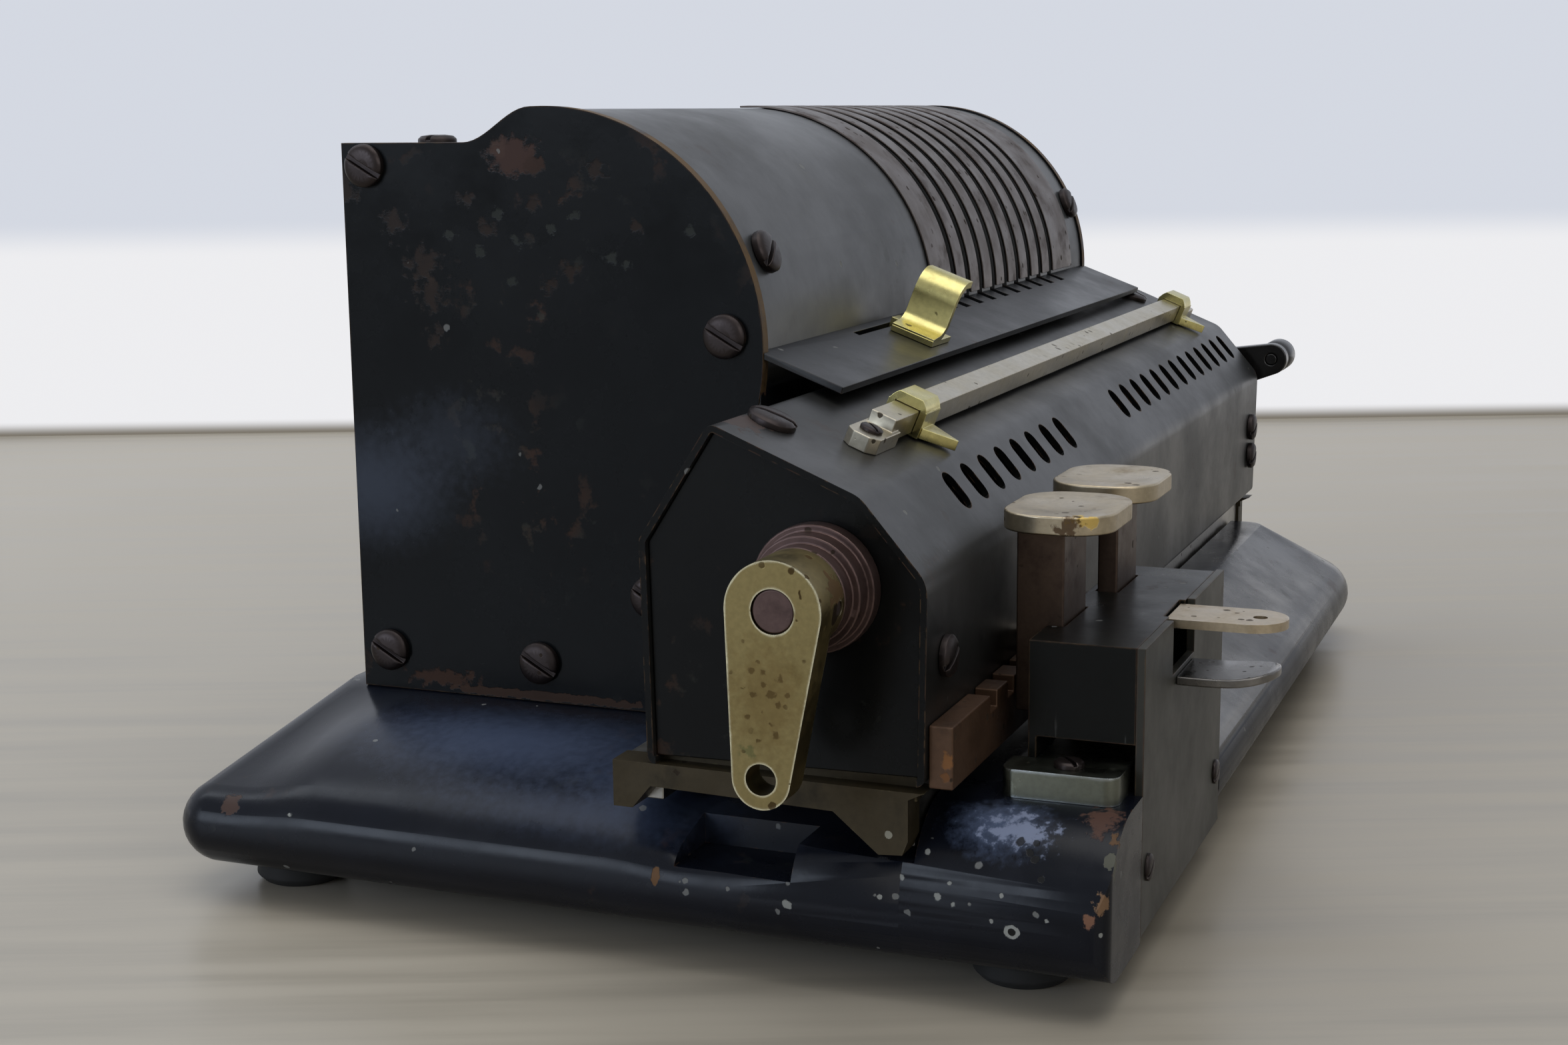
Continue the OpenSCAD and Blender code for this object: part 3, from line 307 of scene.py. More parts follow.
def edge_mask(g: Graph, given: Sockets) -> Socket:
    """Mask of edges that are worn through.

    The bend is how far a rounded normal parts from the true one. Noise plus a share of the bend,
    less a level that falls as the amount grows, gives wear that reaches in raggedly.

    Args:
        g: Graph of the group.
        given: Its inputs Width, Scale and Amount.

    Returns:
        Socket with the mask.
    """
    noise = g.noise(given["Scale"], 5.0, 0.6)
    rounded = g.add("Bevel", {"Radius": given["Width"]}, samples=6).outputs[0]
    true = g.add("NewGeometry").outputs["Normal"]
    bend = g.ramp(g.vector("DOT_PRODUCT", rounded, true)["Value"], 0.995, 0.8)
    level = g.less(1.0, given["Amount"])
    wear = g.ramp(g.less(g.plus(noise, g.times(bend, 0.35)), level), 0.28, 0.36)
    return g.times(wear, g.ramp(bend, 0.05, 0.3))


def blotch_mask(g: Graph, given: Sockets) -> Socket:
    """Mask of cloudy blotches.

    It is the noise at the shifted place, less an edge that falls as the cover grows, over the
    softness.

    Args:
        g: Graph of the group.
        given: Its inputs Scale, Cover, Softness and Shift.

    Returns:
        Socket with the mask.
    """
    moved = g.vector("ADD", g.place, given["Shift"])["Vector"]
    cloud = g.noise(given["Scale"], 6.0, 0.62, moved)
    edge = g.less(0.78, g.times(given["Cover"], 0.56))
    return g.ramp(g.math("DIVIDE", g.less(cloud, edge), given["Softness"]), 0.0, 1.0)


def fleck_mask(g: Graph, given: Sockets) -> Socket:
    """Mask of small ragged flecks.

    Each cell of a Voronoi pattern on a slightly bent place has a fleck if its first random number
    is less than the share, and its second one sets how large the fleck is.

    Args:
        g: Graph of the group.
        given: Its inputs Scale, Share and Size.

    Returns:
        Socket with the mask.
    """
    ragged = g.add("TexNoise", {"Vector": g.place, "Scale": 900.0, "Detail": 2.0}).outputs[1]
    shift = g.add("VectorMath", {0: ragged, 3: 0.0006}, operation="SCALE").outputs[0]
    bent = g.vector("ADD", g.place, shift)["Vector"]
    cells = g.add("TexVoronoi", {"Vector": bent, "Scale": given["Scale"]}).outputs
    pick = g.add("SeparateColor", {0: cells["Color"]}).outputs
    chosen = g.math("LESS_THAN", pick[0], given["Share"])
    size = g.times(given["Size"], g.plus(0.3, pick[1]))
    return g.times(chosen, g.ramp(g.math("DIVIDE", cells["Distance"], size), 1.0, 0.75))


def spot_mask(g: Graph, given: Sockets) -> Socket:
    """Mask of one ragged spot.

    It is the stretched distance from the centre over the radius, swung by noise, and falls from
    full to none over the softness.

    Args:
        g: Graph of the group.
        given: Its inputs Place, Swing, Centre, Stretch, Radius, Ragged and Soft.

    Returns:
        Socket with the mask.
    """
    away = g.vector("SUBTRACT", given["Place"], given["Centre"])["Vector"]
    away = g.vector("MULTIPLY", away, given["Stretch"])["Vector"]
    away = g.vector("LENGTH", away)["Value"]
    swing = g.times(g.less(given["Swing"], 0.5), g.times(given["Ragged"], 3.2))
    reach = g.plus(g.math("DIVIDE", away, given["Radius"]), swing)
    return g.ramp(reach, 1.0, g.less(1.0, given["Soft"]))


def grain_mask(g: Graph, given: Sockets) -> Socket:
    """Noise that is long where the stretch is small, for drawn or polished metal."""
    drawn = g.vector("MULTIPLY", g.place, given["Stretch"])["Vector"]
    return g.noise(given["Scale"], 4.0, 0.6, drawn)


GROUPS: dict[Pattern, tuple[Callable, dict[str, object]]] = {
    Pattern.EDGE: (edge_mask, {"Width": 0.0006, "Scale": 300.0, "Amount": 0.5}),
    Pattern.BLOTCH: (blotch_mask, {
        "Scale": 40.0, "Cover": 0.4, "Softness": 0.05, "Shift": (0.0, 0.0, 0.0)}),
    Pattern.FLECK: (fleck_mask, {"Scale": 200.0, "Share": 0.1, "Size": 0.2}),
    Pattern.SPOT: (spot_mask, {
        "Place": (0.0, 0.0, 0.0), "Swing": 0.5, "Centre": (0.0, 0.0, 0.0),
        "Stretch": (1.0, 1.0, 1.0), "Radius": 0.004, "Ragged": 0.5, "Soft": 0.14}),
    Pattern.GRAIN: (grain_mask, {"Scale": 400.0, "Stretch": (0.02, 1.0, 1.0)}),
}


def shared(pattern: Pattern) -> bpy.types.NodeTree:
    """Fetch a shared shader group, making it the first time.

    Args:
        pattern: Which group.

    Returns:
        The node tree.
    """
    if pattern.value in bpy.data.node_groups:
        return bpy.data.node_groups[pattern.value]
    tree = bpy.data.node_groups.new(pattern.value, "ShaderNodeTree")
    mask, sockets = GROUPS[pattern]
    for name, value in sockets.items():
        kind = "NodeSocketVector" if isinstance(value, tuple) else "NodeSocketFloat"
        made = tree.interface.new_socket(name=name, in_out="INPUT", socket_type=kind)
        made.default_value = value
    tree.interface.new_socket(name="Mask", in_out="OUTPUT", socket_type="NodeSocketFloat")
    given = tree.nodes.new("NodeGroupInput").outputs
    result = tree.nodes.new("NodeGroupOutput")
    tree.links.new(mask(Graph(tree), given), result.inputs[0])
    return tree


def seen(g: Graph) -> Socket:
    """One for rays from the camera or from a gloss or a glass, else zero."""
    path = g.add("LightPath").outputs
    return g.most(g.most(path["Is Camera Ray"], path["Is Glossy Ray"]),
                  path["Is Transmission Ray"])


# ---- kinds of finish


@dataclass(frozen=True)
class Mark:
    """A spot of another colour, with its centre and radius in machine millimetres.

    The stretch multiplies the offsets from the centre, so a small number makes the spot long
    that way. Soft is the share of the radius over which it fades.
    """

    at: Triple
    radius: float
    colour: Colour
    strength: float = 1.0
    ragged: float = 0.5
    stretch: Triple = (1.0, 1.0, 1.0)
    soft: float = 0.14


def scatter(points: Sequence[tuple[float, ...]], colour: Colour, strength: float, ragged: float,
            size: float = 1.0, soft: float = 0.3) -> tuple[Mark, ...]:
    """Make marks of one colour.

    Args:
        points: Centre and radius of each mark, as x, y, z and r.
        colour: Their colour.
        strength: How much they cover.
        ragged: How ragged their edges are.
        size: What every radius is multiplied by.
        soft: Share of the radius over which they fade.

    Returns:
        The marks, in the order of the points.
    """
    return tuple(Mark((x, y, z), size * r, colour, strength, ragged, soft=soft)
                 for x, y, z, r in points)


def upright(x: float, *points: Triple) -> tuple[tuple[float, ...], ...]:
    """Points y, z and radius on an upright face at one x, for ``scatter``."""
    return tuple((x, *point) for point in points)


def marked(g: Graph, paint: Socket, marks: Sequence[Mark]) -> tuple[Socket, object]:
    """Lay marks over a paint, one after the other.

    Args:
        g: The material's graph.
        paint: Socket with the colour under the marks.
        marks: The marks.

    Returns:
        The new paint and a mask of all marks, or 0 where there are none.
    """
    if not marks:
        return paint, 0.0
    swing = g.noise(520.0, 4.0, 0.62)
    cover: object = 0.0
    for mark in marks:
        mask = g.group(Pattern.SPOT, Place=g.place, Swing=swing, Centre=tuple(row(mark.at)),
                       Stretch=mark.stretch, Radius=mark.radius * MM, Ragged=mark.ragged,
                       Soft=mark.soft)
        mask = g.times(mask, mark.strength)
        paint = g.mix(mask, paint, mark.colour)
        cover = g.most(cover, mask)
    return paint, cover


def bump(g: Graph, body: bpy.types.Node, height: Socket, depth: float) -> None:
    """Feed a height into the shader's normal.

    Args:
        g: The material's graph.
        body: The Principled shader.
        height: Socket with the height, 0 to 1.
        depth: How deep one unit of height is, in millimetres.
    """
    node = g.add("Bump", {"Strength": 1.0, "Distance": depth * MM, "Height": height})
    g.put(body.inputs["Normal"], node.outputs[0])


def toned(colour: Colour, factor: float) -> Colour:
    """A colour made darker or paler by a factor, up to white."""
    return tuple(min(1.0, c * factor) for c in colour)


@dataclass(frozen=True)
class Finish:
    """What every finish has: a name, a colour and a roughness."""

    name: str
    colour: Colour
    rough: float = 0.4

    def shader(self) -> tuple[bpy.types.Material, Graph, bpy.types.Node]:
        """Start the material.

        Returns:
            The material, a graph on its tree and its Principled shader.
        """
        made = bpy.data.materials.new(self.name)
        made.use_nodes = True
        body = made.node_tree.nodes["Principled BSDF"]
        body.inputs["Base Color"].default_value = (*self.colour, 1.0)
        body.inputs["Roughness"].default_value = self.rough
        made.diffuse_color = (*self.colour, 1.0)
        return made, Graph(made.node_tree), body

    def material(self) -> bpy.types.Material:
        """Fetch the finish as a material, making it the first time.

        Returns:
            The material.
        """
        if self.name not in bpy.data.materials:
            self.build()
        return bpy.data.materials[self.name]

    def build(self) -> None:
        """Make the material; each kind of finish has its own recipe."""
        raise NotImplementedError

    def dress(self, piece: Piece) -> None:
        """Give a piece this finish in place of any other.

        Args:
            piece: The piece.
        """
        piece.data.materials.clear()
        piece.data.materials.append(self.material())
        LOG.info("%s: %s", piece.name, self.name)

    def dress_part(self, piece: Piece, chosen: np.ndarray) -> None:
        """Give this finish to some faces of a dressed piece.

        Args:
            piece: The piece, which already has its first finish.
            chosen: One truth value for each face.
        """
        piece.data.materials.append(self.material())
        piece.data.polygons.foreach_set("material_index", chosen.astype(np.int32))
        LOG.info("%s: %s on %d faces", piece.name, self.name, chosen.sum())


@dataclass(frozen=True)
class Enamel(Finish):
    """Stoved enamel over iron, worn to brown metal at its edges, with mottles and flecks.

    Scales are in waves per metre, widths and depths in millimetres, and the rest are shares.
    """

    bare: Colour = (0.075, 0.038, 0.024)
    edge: Colour = (0.12, 0.075, 0.04)
    wear: float = 0.45
    wear_width: float = 0.6
    wear_scale: float = 420.0
    flecks: float = 0.025
    fleck_scale: float = 420.0
    fleck_colour: Colour = (0.2, 0.205, 0.2)
    mottle: float = 0.35
    mottle_scale: float = 170.0
    mottle_colour: Colour = (0.04, 0.045, 0.038)
    dust: float = 0.1
    dust_scale: float = 60.0
    dust_colour: Colour = (0.1, 0.1, 0.095)
    fading: float = 1.7
    shine: float = 0.4
    scratches: float = 0.0
    peel_scale: float = 700.0
    wave_scale: float = 110.0
    depth: float = 0.09
    rim: Colour | None = None
    marks: tuple[Mark, ...] = ()

    def build(self) -> None:
        """Layer dust, mottles, edge wear, scratches, marks and flecks over the paint."""
        _, g, body = self.shader()
        body.inputs["Specular IOR Level"].default_value = self.shine
        haze = g.group(Pattern.BLOTCH, Scale=self.dust_scale, Cover=0.4, Softness=0.28,
                       Shift=(0.31, 0.12, 0.07))
        paint, spots = self.mottled(g, haze)
        paint, worn = self.worn(g, paint)
        if self.scratches:
            line = g.group(Pattern.GRAIN, Scale=500.0, Stretch=(1.0, 1.0, 0.08))
            line = g.times(g.ramp(line, 0.66, 0.74), g.ramp(g.noise(60.0), 0.5, 0.66))
            paint = g.mix(g.times(line, self.scratches), paint, self.fleck_colour)
        paint, gone = marked(g, paint, self.marks)
        fleck = g.group(Pattern.FLECK, Scale=self.fleck_scale, Share=self.flecks, Size=0.3)
        paint = g.mix(g.times(fleck, 0.7), paint, self.fleck_colour)
        g.put(body.inputs["Base Color"], paint)
        bare = g.most(g.most(worn, gone), g.most(fleck, spots))
        gloss = g.ramp(g.noise(34.0, 6.0, 0.65), 0.3, 0.72, self.rough - 0.07,
                       self.rough + 0.1)
        gloss = g.plus(gloss, g.times(bare, 0.25), clamp=True)
        gloss = g.plus(gloss, g.times(haze, 0.08), clamp=True)
        g.put(body.inputs["Roughness"], gloss)
        peel = g.noise(self.peel_scale, 3.0)
        wave = g.noise(self.wave_scale, 2.0)
        height = g.plus(g.times(peel, 0.12), g.times(wave, 0.5))
        bump(g, body, g.less(height, g.times(bare, 0.5)), self.depth)

    def mottled(self, g: Graph, haze: Socket) -> tuple[Socket, Socket]:
        """Fade the paint in clouds, dust it, and lay brown and green mottles over it.

        Args:
            g: The material's graph.
            haze: Mask of the dust.

        Returns:
            The paint and the mask of the mottles.
        """
        cloud = g.noise(22.0, 5.0, 0.6)
        paint = g.mix(g.ramp(cloud, 0.35, 0.7), self.colour, toned(self.colour, self.fading))
        paint = g.mix(g.times(haze, self.dust), paint, self.dust_colour)
        spots = g.group(Pattern.BLOTCH, Scale=self.mottle_scale, Cover=0.36, Softness=0.09,
                        Shift=(0.7, 0.2, 0.4))
        where = g.ramp(g.noise(17.0, 2.0), 0.46, 0.64)
        spots = g.times(g.times(spots, where), self.mottle)
        tone = g.mix(g.ramp(g.noise(60.0), 0.4, 0.6), self.bare, self.mottle_colour)
        return g.mix(spots, paint, tone), spots

    def worn(self, g: Graph, paint: Socket) -> tuple[Socket, Socket]:
        """Wear the edges, and the narrow faces too where there is a rim colour.

        Args:
            g: The material's graph.
            paint: The paint under the wear.

        Returns:
            The worn paint and the mask of the wear.
        """
        tone = g.mix(g.ramp(g.noise(240.0), 0.4, 0.62), self.edge, self.bare)
        worn = g.group(Pattern.EDGE, Width=self.wear_width * MM, Scale=self.wear_scale,
                       Amount=self.wear)
        if self.rim is not None:
            across = g.add("SeparateXYZ", {0: g.add("TexCoord").outputs["Normal"]}).outputs[0]
            side = g.ramp(g.math("ABSOLUTE", across, 0.0), 0.75, 0.4)
            side = g.times(side, g.ramp(g.noise(130.0, 5.0), 0.36, 0.56, 0.25, 0.95))
            tone = g.mix(side, tone, self.rim)
            worn = g.most(worn, side)
        return g.mix(g.times(worn, 0.85), paint, tone), worn


@dataclass(frozen=True)
class Metal(Finish):
    """A metal surface with tarnish, drawn grain, dark pits and its own marks.

    Scales are in waves per metre, widths and depths in millimetres, and the rest are shares.
    The bright edge colour is partly rubbed metal and partly a painted rim highlight.
    """

    tarnish: Colour = (0.1, 0.07, 0.04)
    cover: float = 0.35
    tarnish_scale: float = 90.0
    pits: float = 0.1
    pit_scale: float = 600.0
    pit_tone: Colour = (0.03, 0.02, 0.012)
    grain: float = 0.3
    grain_scale: float = 900.0
    stretch: Triple = (1.0, 1.0, 1.0)
    metallic: float = 1.0
    # Bright edge colour: partly rubbed metal, partly a painted rim highlight.
    bright: Colour | None = None
    edge_wear_and_highlight: float = 0.45
    bright_width: float = 0.6
    bright_scale: float = 260.0
    depth: float = 0.05
    marks: tuple[Mark, ...] = ()

    def build(self) -> None:
        """Layer tarnish, grain, worn and painted-highlight edges, marks and pits over the metal.
        """
        _, g, body = self.shader()
        body.inputs["Metallic"].default_value = self.metallic
        stain = g.group(Pattern.BLOTCH, Scale=self.tarnish_scale, Cover=self.cover,
                        Softness=0.22, Shift=(0.15, 0.5, 0.3))
        drawn = g.group(Pattern.GRAIN, Scale=self.grain_scale, Stretch=self.stretch)
        shade = g.ramp(drawn, 0.3, 0.7, 1.0 - 0.3 * self.grain, 1.0 + 0.2 * self.grain)
        grey = g.add("CombineColor", {0: shade, 1: shade, 2: shade}).outputs[0]
        paint = g.mix(g.times(stain, 0.8), self.colour, self.tarnish)
        paint = g.add("Mix", {0: 1.0, 6: paint, 7: grey}, data_type="RGBA",
                      blend_type="MULTIPLY").outputs[2]
        gloss = g.ramp(g.noise(120.0, 5.0, 0.6), 0.3, 0.7, self.rough - 0.06,
                       self.rough + 0.1)
        gloss = g.plus(gloss, g.times(stain, 0.16), clamp=True)
        # Bright edges: rubbed metal where the tarnish wears off, and a painted rim highlight.
        if self.bright is not None:
            worn = g.group(Pattern.EDGE, Width=self.bright_width * MM,
                           Scale=self.bright_scale, Amount=self.edge_wear_and_highlight)
            paint = g.mix(g.times(worn, 0.8), paint, self.bright)
            gloss = g.less(gloss, g.times(worn, 0.12), clamp=True)
        paint, spots = marked(g, paint, self.marks)
        pit = g.group(Pattern.FLECK, Scale=self.pit_scale, Share=self.pits, Size=0.42)
        pit = g.times(pit, g.ramp(g.noise(70.0, 3.0), 0.4, 0.55, 0.25, 1.0))
        g.put(body.inputs["Base Color"], g.mix(g.times(pit, 0.85), paint, self.pit_tone))
        gloss = g.plus(gloss, g.times(g.most(pit, spots), 0.25), clamp=True)
        g.put(body.inputs["Roughness"], gloss)
        height = g.less(g.times(drawn, 0.3 * self.grain), g.times(pit, 0.6))
        bump(g, body, g.less(height, g.times(spots, 0.5)), self.depth)


@dataclass(frozen=True)
class Plain(Finish):
    """A moulded or painted surface with a soft mottle and a fine grain."""

    mottle: float = 0.25
    scale: float = 80.0
    grain_scale: float = 900.0
    depth: float = 0.02

    def build(self) -> None:
        """Mottle the colour and the gloss, and grain the surface."""
        _, g, body = self.shader()
        cloud = g.noise(self.scale, 5.0, 0.6)
        dark, pale = (toned(self.colour, 1.0 + sign * self.mottle) for sign in (-1.0, 1.0))
        g.put(body.inputs["Base Color"], g.mix(g.ramp(cloud, 0.35, 0.65), dark, pale))
        g.put(body.inputs["Roughness"],
              g.ramp(cloud, 0.3, 0.7, self.rough - 0.05, self.rough + 0.08))
        bump(g, body, g.noise(self.grain_scale, 3.0), self.depth)


@dataclass(frozen=True)
class Boards(Finish):
    """Pale floor boards with a faint grain, turned so many degrees and long by its stretch."""

    turn: float = 66.6
    stretch: float = 0.06
    tint: float = 0.12

    def build(self) -> None:
        """Mix a stretched grain and a wide cloud into the colour, and the grain into the gloss."""
        _, g, body = self.shader()
        turned = g.add("Mapping", {0: g.place, "Rotation": (0.0, 0.0, math.radians(self.turn))})
        place = turned.outputs[0]
        drawn = g.vector("MULTIPLY", place, (self.stretch, 1.0, 1.0))["Vector"]
        grain = g.noise(90.0, 5.0, 0.6, drawn)
        cloud = g.noise(2.2, 3.0, at=place)
        tone = g.plus(g.times(grain, 0.6), g.times(cloud, 0.4))
        dark, pale = (toned(self.colour, 1.0 + sign * self.tint) for sign in (-1.0, 1.0))
        g.put(body.inputs["Base Color"], g.mix(g.ramp(tone, 0.36, 0.62), dark, pale))
        g.put(body.inputs["Roughness"], g.ramp(grain, 0.3, 0.7, 0.28, 0.4))


@dataclass(frozen=True)
class WallPaint(Finish):
    """Wall and skirting board that glow evenly to the camera and are clear to other rays.

    Heights are in metres. The shadow is the line at the skirting's foot.
    """

    skirting: float = 0.092
    skirting_colour: Colour = (0.85, 0.85, 0.87)
    blur: float = 0.009
    shadow: float = 0.007
    shadow_colour: Colour = (0.195, 0.175, 0.1425)

    def build(self) -> None:
        """Choose the colour by height, and show it on the sheet's front only."""
        made, g, _ = self.shader()
        made.node_tree.nodes.clear()
        height = g.add("SeparateXYZ", {0: g.place}).outputs[2]
        above = g.ramp(height, self.skirting - self.blur, self.skirting + self.blur)
        colour = g.mix(above, self.skirting_colour, self.colour)
        colour = g.mix(g.ramp(height, 0.0, self.shadow), self.shadow_colour, colour)
        glow = g.add("Emission", {0: colour, 1: 1.0}).outputs[0]
        front = g.less(1.0, g.add("NewGeometry").outputs["Backfacing"])
        clear = g.add("BsdfTransparent").outputs[0]
        shown = g.add("MixShader", {0: g.times(seen(g), front), 1: clear, 2: glow})
        g.put(g.add("OutputMaterial").inputs[0], shown.outputs[0])


# ---- the machine's marks

PALE = (0.36, 0.37, 0.35)
OCHRE = (0.13, 0.065, 0.025)
TAN = (0.24, 0.14, 0.075)
PINK = (0.24, 0.12, 0.075)
DEEP = (0.006, 0.006, 0.006)
# Colour of a painted reflection: a bluish sheen on the left side plate.
PAINTED_PLATE_SHEEN = (0.055, 0.066, 0.092)
# Colour of a painted reflection: a broad bluish sheen on the base's left flare.
PAINTED_FLARE_SHEEN = (0.055, 0.074, 0.128)
BROWN_CLOUD = (0.034, 0.021, 0.015)
GREEN_CLOUD = (0.042, 0.047, 0.04)

PLATE_MARKS = (
    # The first two marks are a painted reflection: a soft bluish sheen on the plate's lower half.
    Mark((0, 40, 74), 19, PAINTED_PLATE_SHEEN, 0.8, 0.12, (1, 0.8, 1.15), 0.95),
    Mark((0, 22, 84), 15, PAINTED_PLATE_SHEEN, 0.35, 0.3, (1, 0.8, 1.2), 0.98),
    Mark((0, 6, 139.4), 4.6, (0.06, 0.034, 0.028), 0.95, 0.6, (1, 0.75, 1.2), 0.4),
    Mark((0, 1.5, 137.4), 2.4, (0.045, 0.026, 0.02), 0.9, 0.7, soft=0.5),
    Mark((0, 9.4, 140.6), 2.4, (0.075, 0.045, 0.036), 0.6, 0.7, soft=0.6),
    *scatter(upright(
        0, (32.9, 126, 3.2), (12.4, 125.6, 2.2), (27.1, 118.3, 4.2), (25.1, 113, 4.4),
        (-11.4, 136.6, 2.4), (-19.4, 125.9, 1.6), (-5.4, 117.5, 2.6), (-0.7, 114.7, 2.2),
        (24.3, 104.1, 2.8), (44, 133, 4), (46, 38, 4.5), (2, 130, 1.8), (17, 131, 2)),
        BROWN_CLOUD, 0.6, 1.1, soft=0.8),
    *scatter(upright(
        0, (5.3, 122.7, 1.7), (-6.7, 128.1, 1.3), (-14.2, 120.1, 1.5), (-17.3, 119.6, 1.3),
        (-30.6, 125.5, 1.4), (-1.4, 125.7, 1.3), (9.5, 128.5, 1.2), (14, 121, 1.4),
        (7, 115.5, 1.2), (20, 124, 1.3), (0.5, 109, 1.2)),
        GREEN_CLOUD, 0.5, 1.4, soft=0.7),
    Mark((0, 26, 35.4), 2.2, (0.06, 0.032, 0.022), 0.8, 0.9, (1, 0.25, 1), 0.5),
    Mark((0, 2, 33.6), 1, (0.06, 0.035, 0.025), 0.8, 0.6, (1, 0.04, 1)),
)
BASE_MARKS = (
    # The first three marks are a painted reflection: a broad bluish sheen across the left flare.
    Mark((-20, -2, 28.5), 20, PAINTED_FLARE_SHEEN, 0.8, 0.14, (1, 0.42, 1), 0.98),
    Mark((-28, -36, 26), 15, PAINTED_FLARE_SHEEN, 0.8, 0.14, (1, 0.7, 1), 0.98),
    Mark((-38, -30, 24.5), 8, PAINTED_FLARE_SHEEN, 0.4, 0.2, (1, 0.16, 1), 0.98),
    # Painted highlight: a bright blue-white patch on the rounded shoulder of the front-left block.
    Mark((-36.5, -102, 30.5), 8.5, (0.09, 0.12, 0.2), 0.85, 0.3, (1, 0.75, 1), 0.95),
    Mark((-37, -104.5, 30), 4, (0.26, 0.3, 0.42), 0.7, 1.2, (1, 0.6, 1), 0.6),
    *scatter((
        (-41.4, -90.4, 25.9, 0.8), (-43.8, -86.8, 21.8, 0.9), (-43.8, -95, 21.7, 0.7),
        (-44.5, -93.2, 19.4, 1.1), (-44.7, -95.9, 18.5, 0.9), (-44.1, -104, 20.8, 0.7),
        (-45, -102.6, 16.5, 0.6), (-44.8, -111.8, 17.7, 0.7), (-44.7, -83.2, 18.2, 0.7),
        (-43.8, -120.5, 16.1, 0.6), (-11.1, 33, 29.2, 0.8), (-14.7, 11.3, 28.2, 0.9),
        (-6.7, -1.1, 30.3, 0.7), (-43.4, 33.6, 18.8, 1.1), (-41.6, -5.1, 20.5, 0.8),
        (-45, -66.7, 14.8, 1.2)), PALE, 0.7, 0.9, 0.62),
    Mark((-45, -106, 15.1), 1.35, PALE, 0.8, 0.3),
    Mark((-45, -106, 15.1), 0.7, DEEP, 1, 0.2),
    Mark((-44.4, -41.9, 16.4), 0.8, OCHRE, 0.95, 0.5, (1, 1, 0.45)),
    Mark((-43, 47.3, 19.3), 2.4, (0.07, 0.04, 0.03), 0.8, 0.7),
    Mark((-32.5, -118.1, 31.8), 3.2, (0.085, 0.042, 0.03), 0.9, 0.7, (0.6, 1, 1), 0.4),
    Mark((-36.7, -120.7, 30), 1.1, OCHRE, 0.8, 1.3, (1, 1, 0.5), 0.4),
    Mark((-40, -120.9, 27), 1.2, (0.12, 0.12, 0.09), 0.7, 0.6, (1, 1, 0.35)),
    Mark((-43.6, -120.7, 21.8), 1.3, TAN, 0.8, 1.5, (1, 1, 0.5), 0.4),
    Mark((-44.8, -118.9, 18.6), 0.9, PINK, 0.8, 1.5, (1, 0.7, 0.6), 0.4),
    # Dark specks inside the painted highlight on the block's shoulder, which break it up.
    *scatter((
        (-38.8, -105.6, 28.5, 0.9), (-40.1, -107.6, 27.3, 1), (-40.8, -108.6, 26.5, 0.8),
        (-38.8, -108.4, 28.5, 0.7), (-42.7, -110.3, 23.9, 0.7)), DEEP, 0.9, 0.7),
)
CARRIAGE_MARKS = (
    Mark((-36, -53.5, 96.1), 5, (0.05, 0.028, 0.022), 0.7, 0.9, (1, 0.7, 1)),
)
CRANK_MARKS = (
    Mark((-64.8, -71.5, 56.5), 10, (0.16, 0.105, 0.038), 0.45, 0.5, (1, 1.2, 0.8), 0.8),
    Mark((-64.8, -67.8, 47.5), 1.6, (0.1, 0.12, 0.05), 0.5, 1.2, soft=0.6),
    *scatter(upright(
        -64.8, (-70.9, 58.6, 0.7), (-72.6, 57.2, 0.8), (-69.2, 56.6, 0.55), (-73.3, 55.4, 0.6),
        (-70.6, 54.4, 0.75), (-71.9, 52.2, 0.5), (-68.9, 60.4, 0.5), (-74, 59.4, 0.6),
        (-70.2, 62.3, 0.5), (-71.2, 60.6, 0.6), (-68.3, 53, 0.5), (-73, 50.6, 0.6),
        (-70, 49.6, 0.5), (-75, 57, 0.5), (-67.9, 57.8, 0.45)),
        (0.07, 0.04, 0.015), 0.6, 1.8, soft=0.6),
    Mark((-57.6, -80.3, 72.6), 2.6, (0.12, 0.07, 0.035), 0.85, 1),
    Mark((-58.4, -80.7, 69), 1.5, (0.02, 0.013, 0.01), 0.95, 0.2, (1, 1, 0.75)),
)
CAP_MARKS = (
    Mark((-13.6, -110, 77.6), 1.9, (0.62, 0.44, 0.12), 0.85, 1.2, (1, 0.5, 1.3), 0.4),
    Mark((-14.7, -107.2, 76.8), 1.9, (0.09, 0.05, 0.025), 0.85, 1.2, (1, 0.7, 1), 0.4),
)
FRAME_MARKS = (Mark((-45, -84.9, 29.2), 0.8, (0.35, 0.34, 0.28), 0.8, 0.5),)
RACK_MARKS = (
    Mark((-43.4, -94.5, 42.3), 1.3, (0.26, 0.12, 0.045), 0.9, 0.9, (1, 1, 0.7), 0.4),
    Mark((-43.4, -94.2, 39.6), 0.9, (0.2, 0.09, 0.035), 0.9, 0.9, soft=0.4),
)

# ---- the machine's finishes

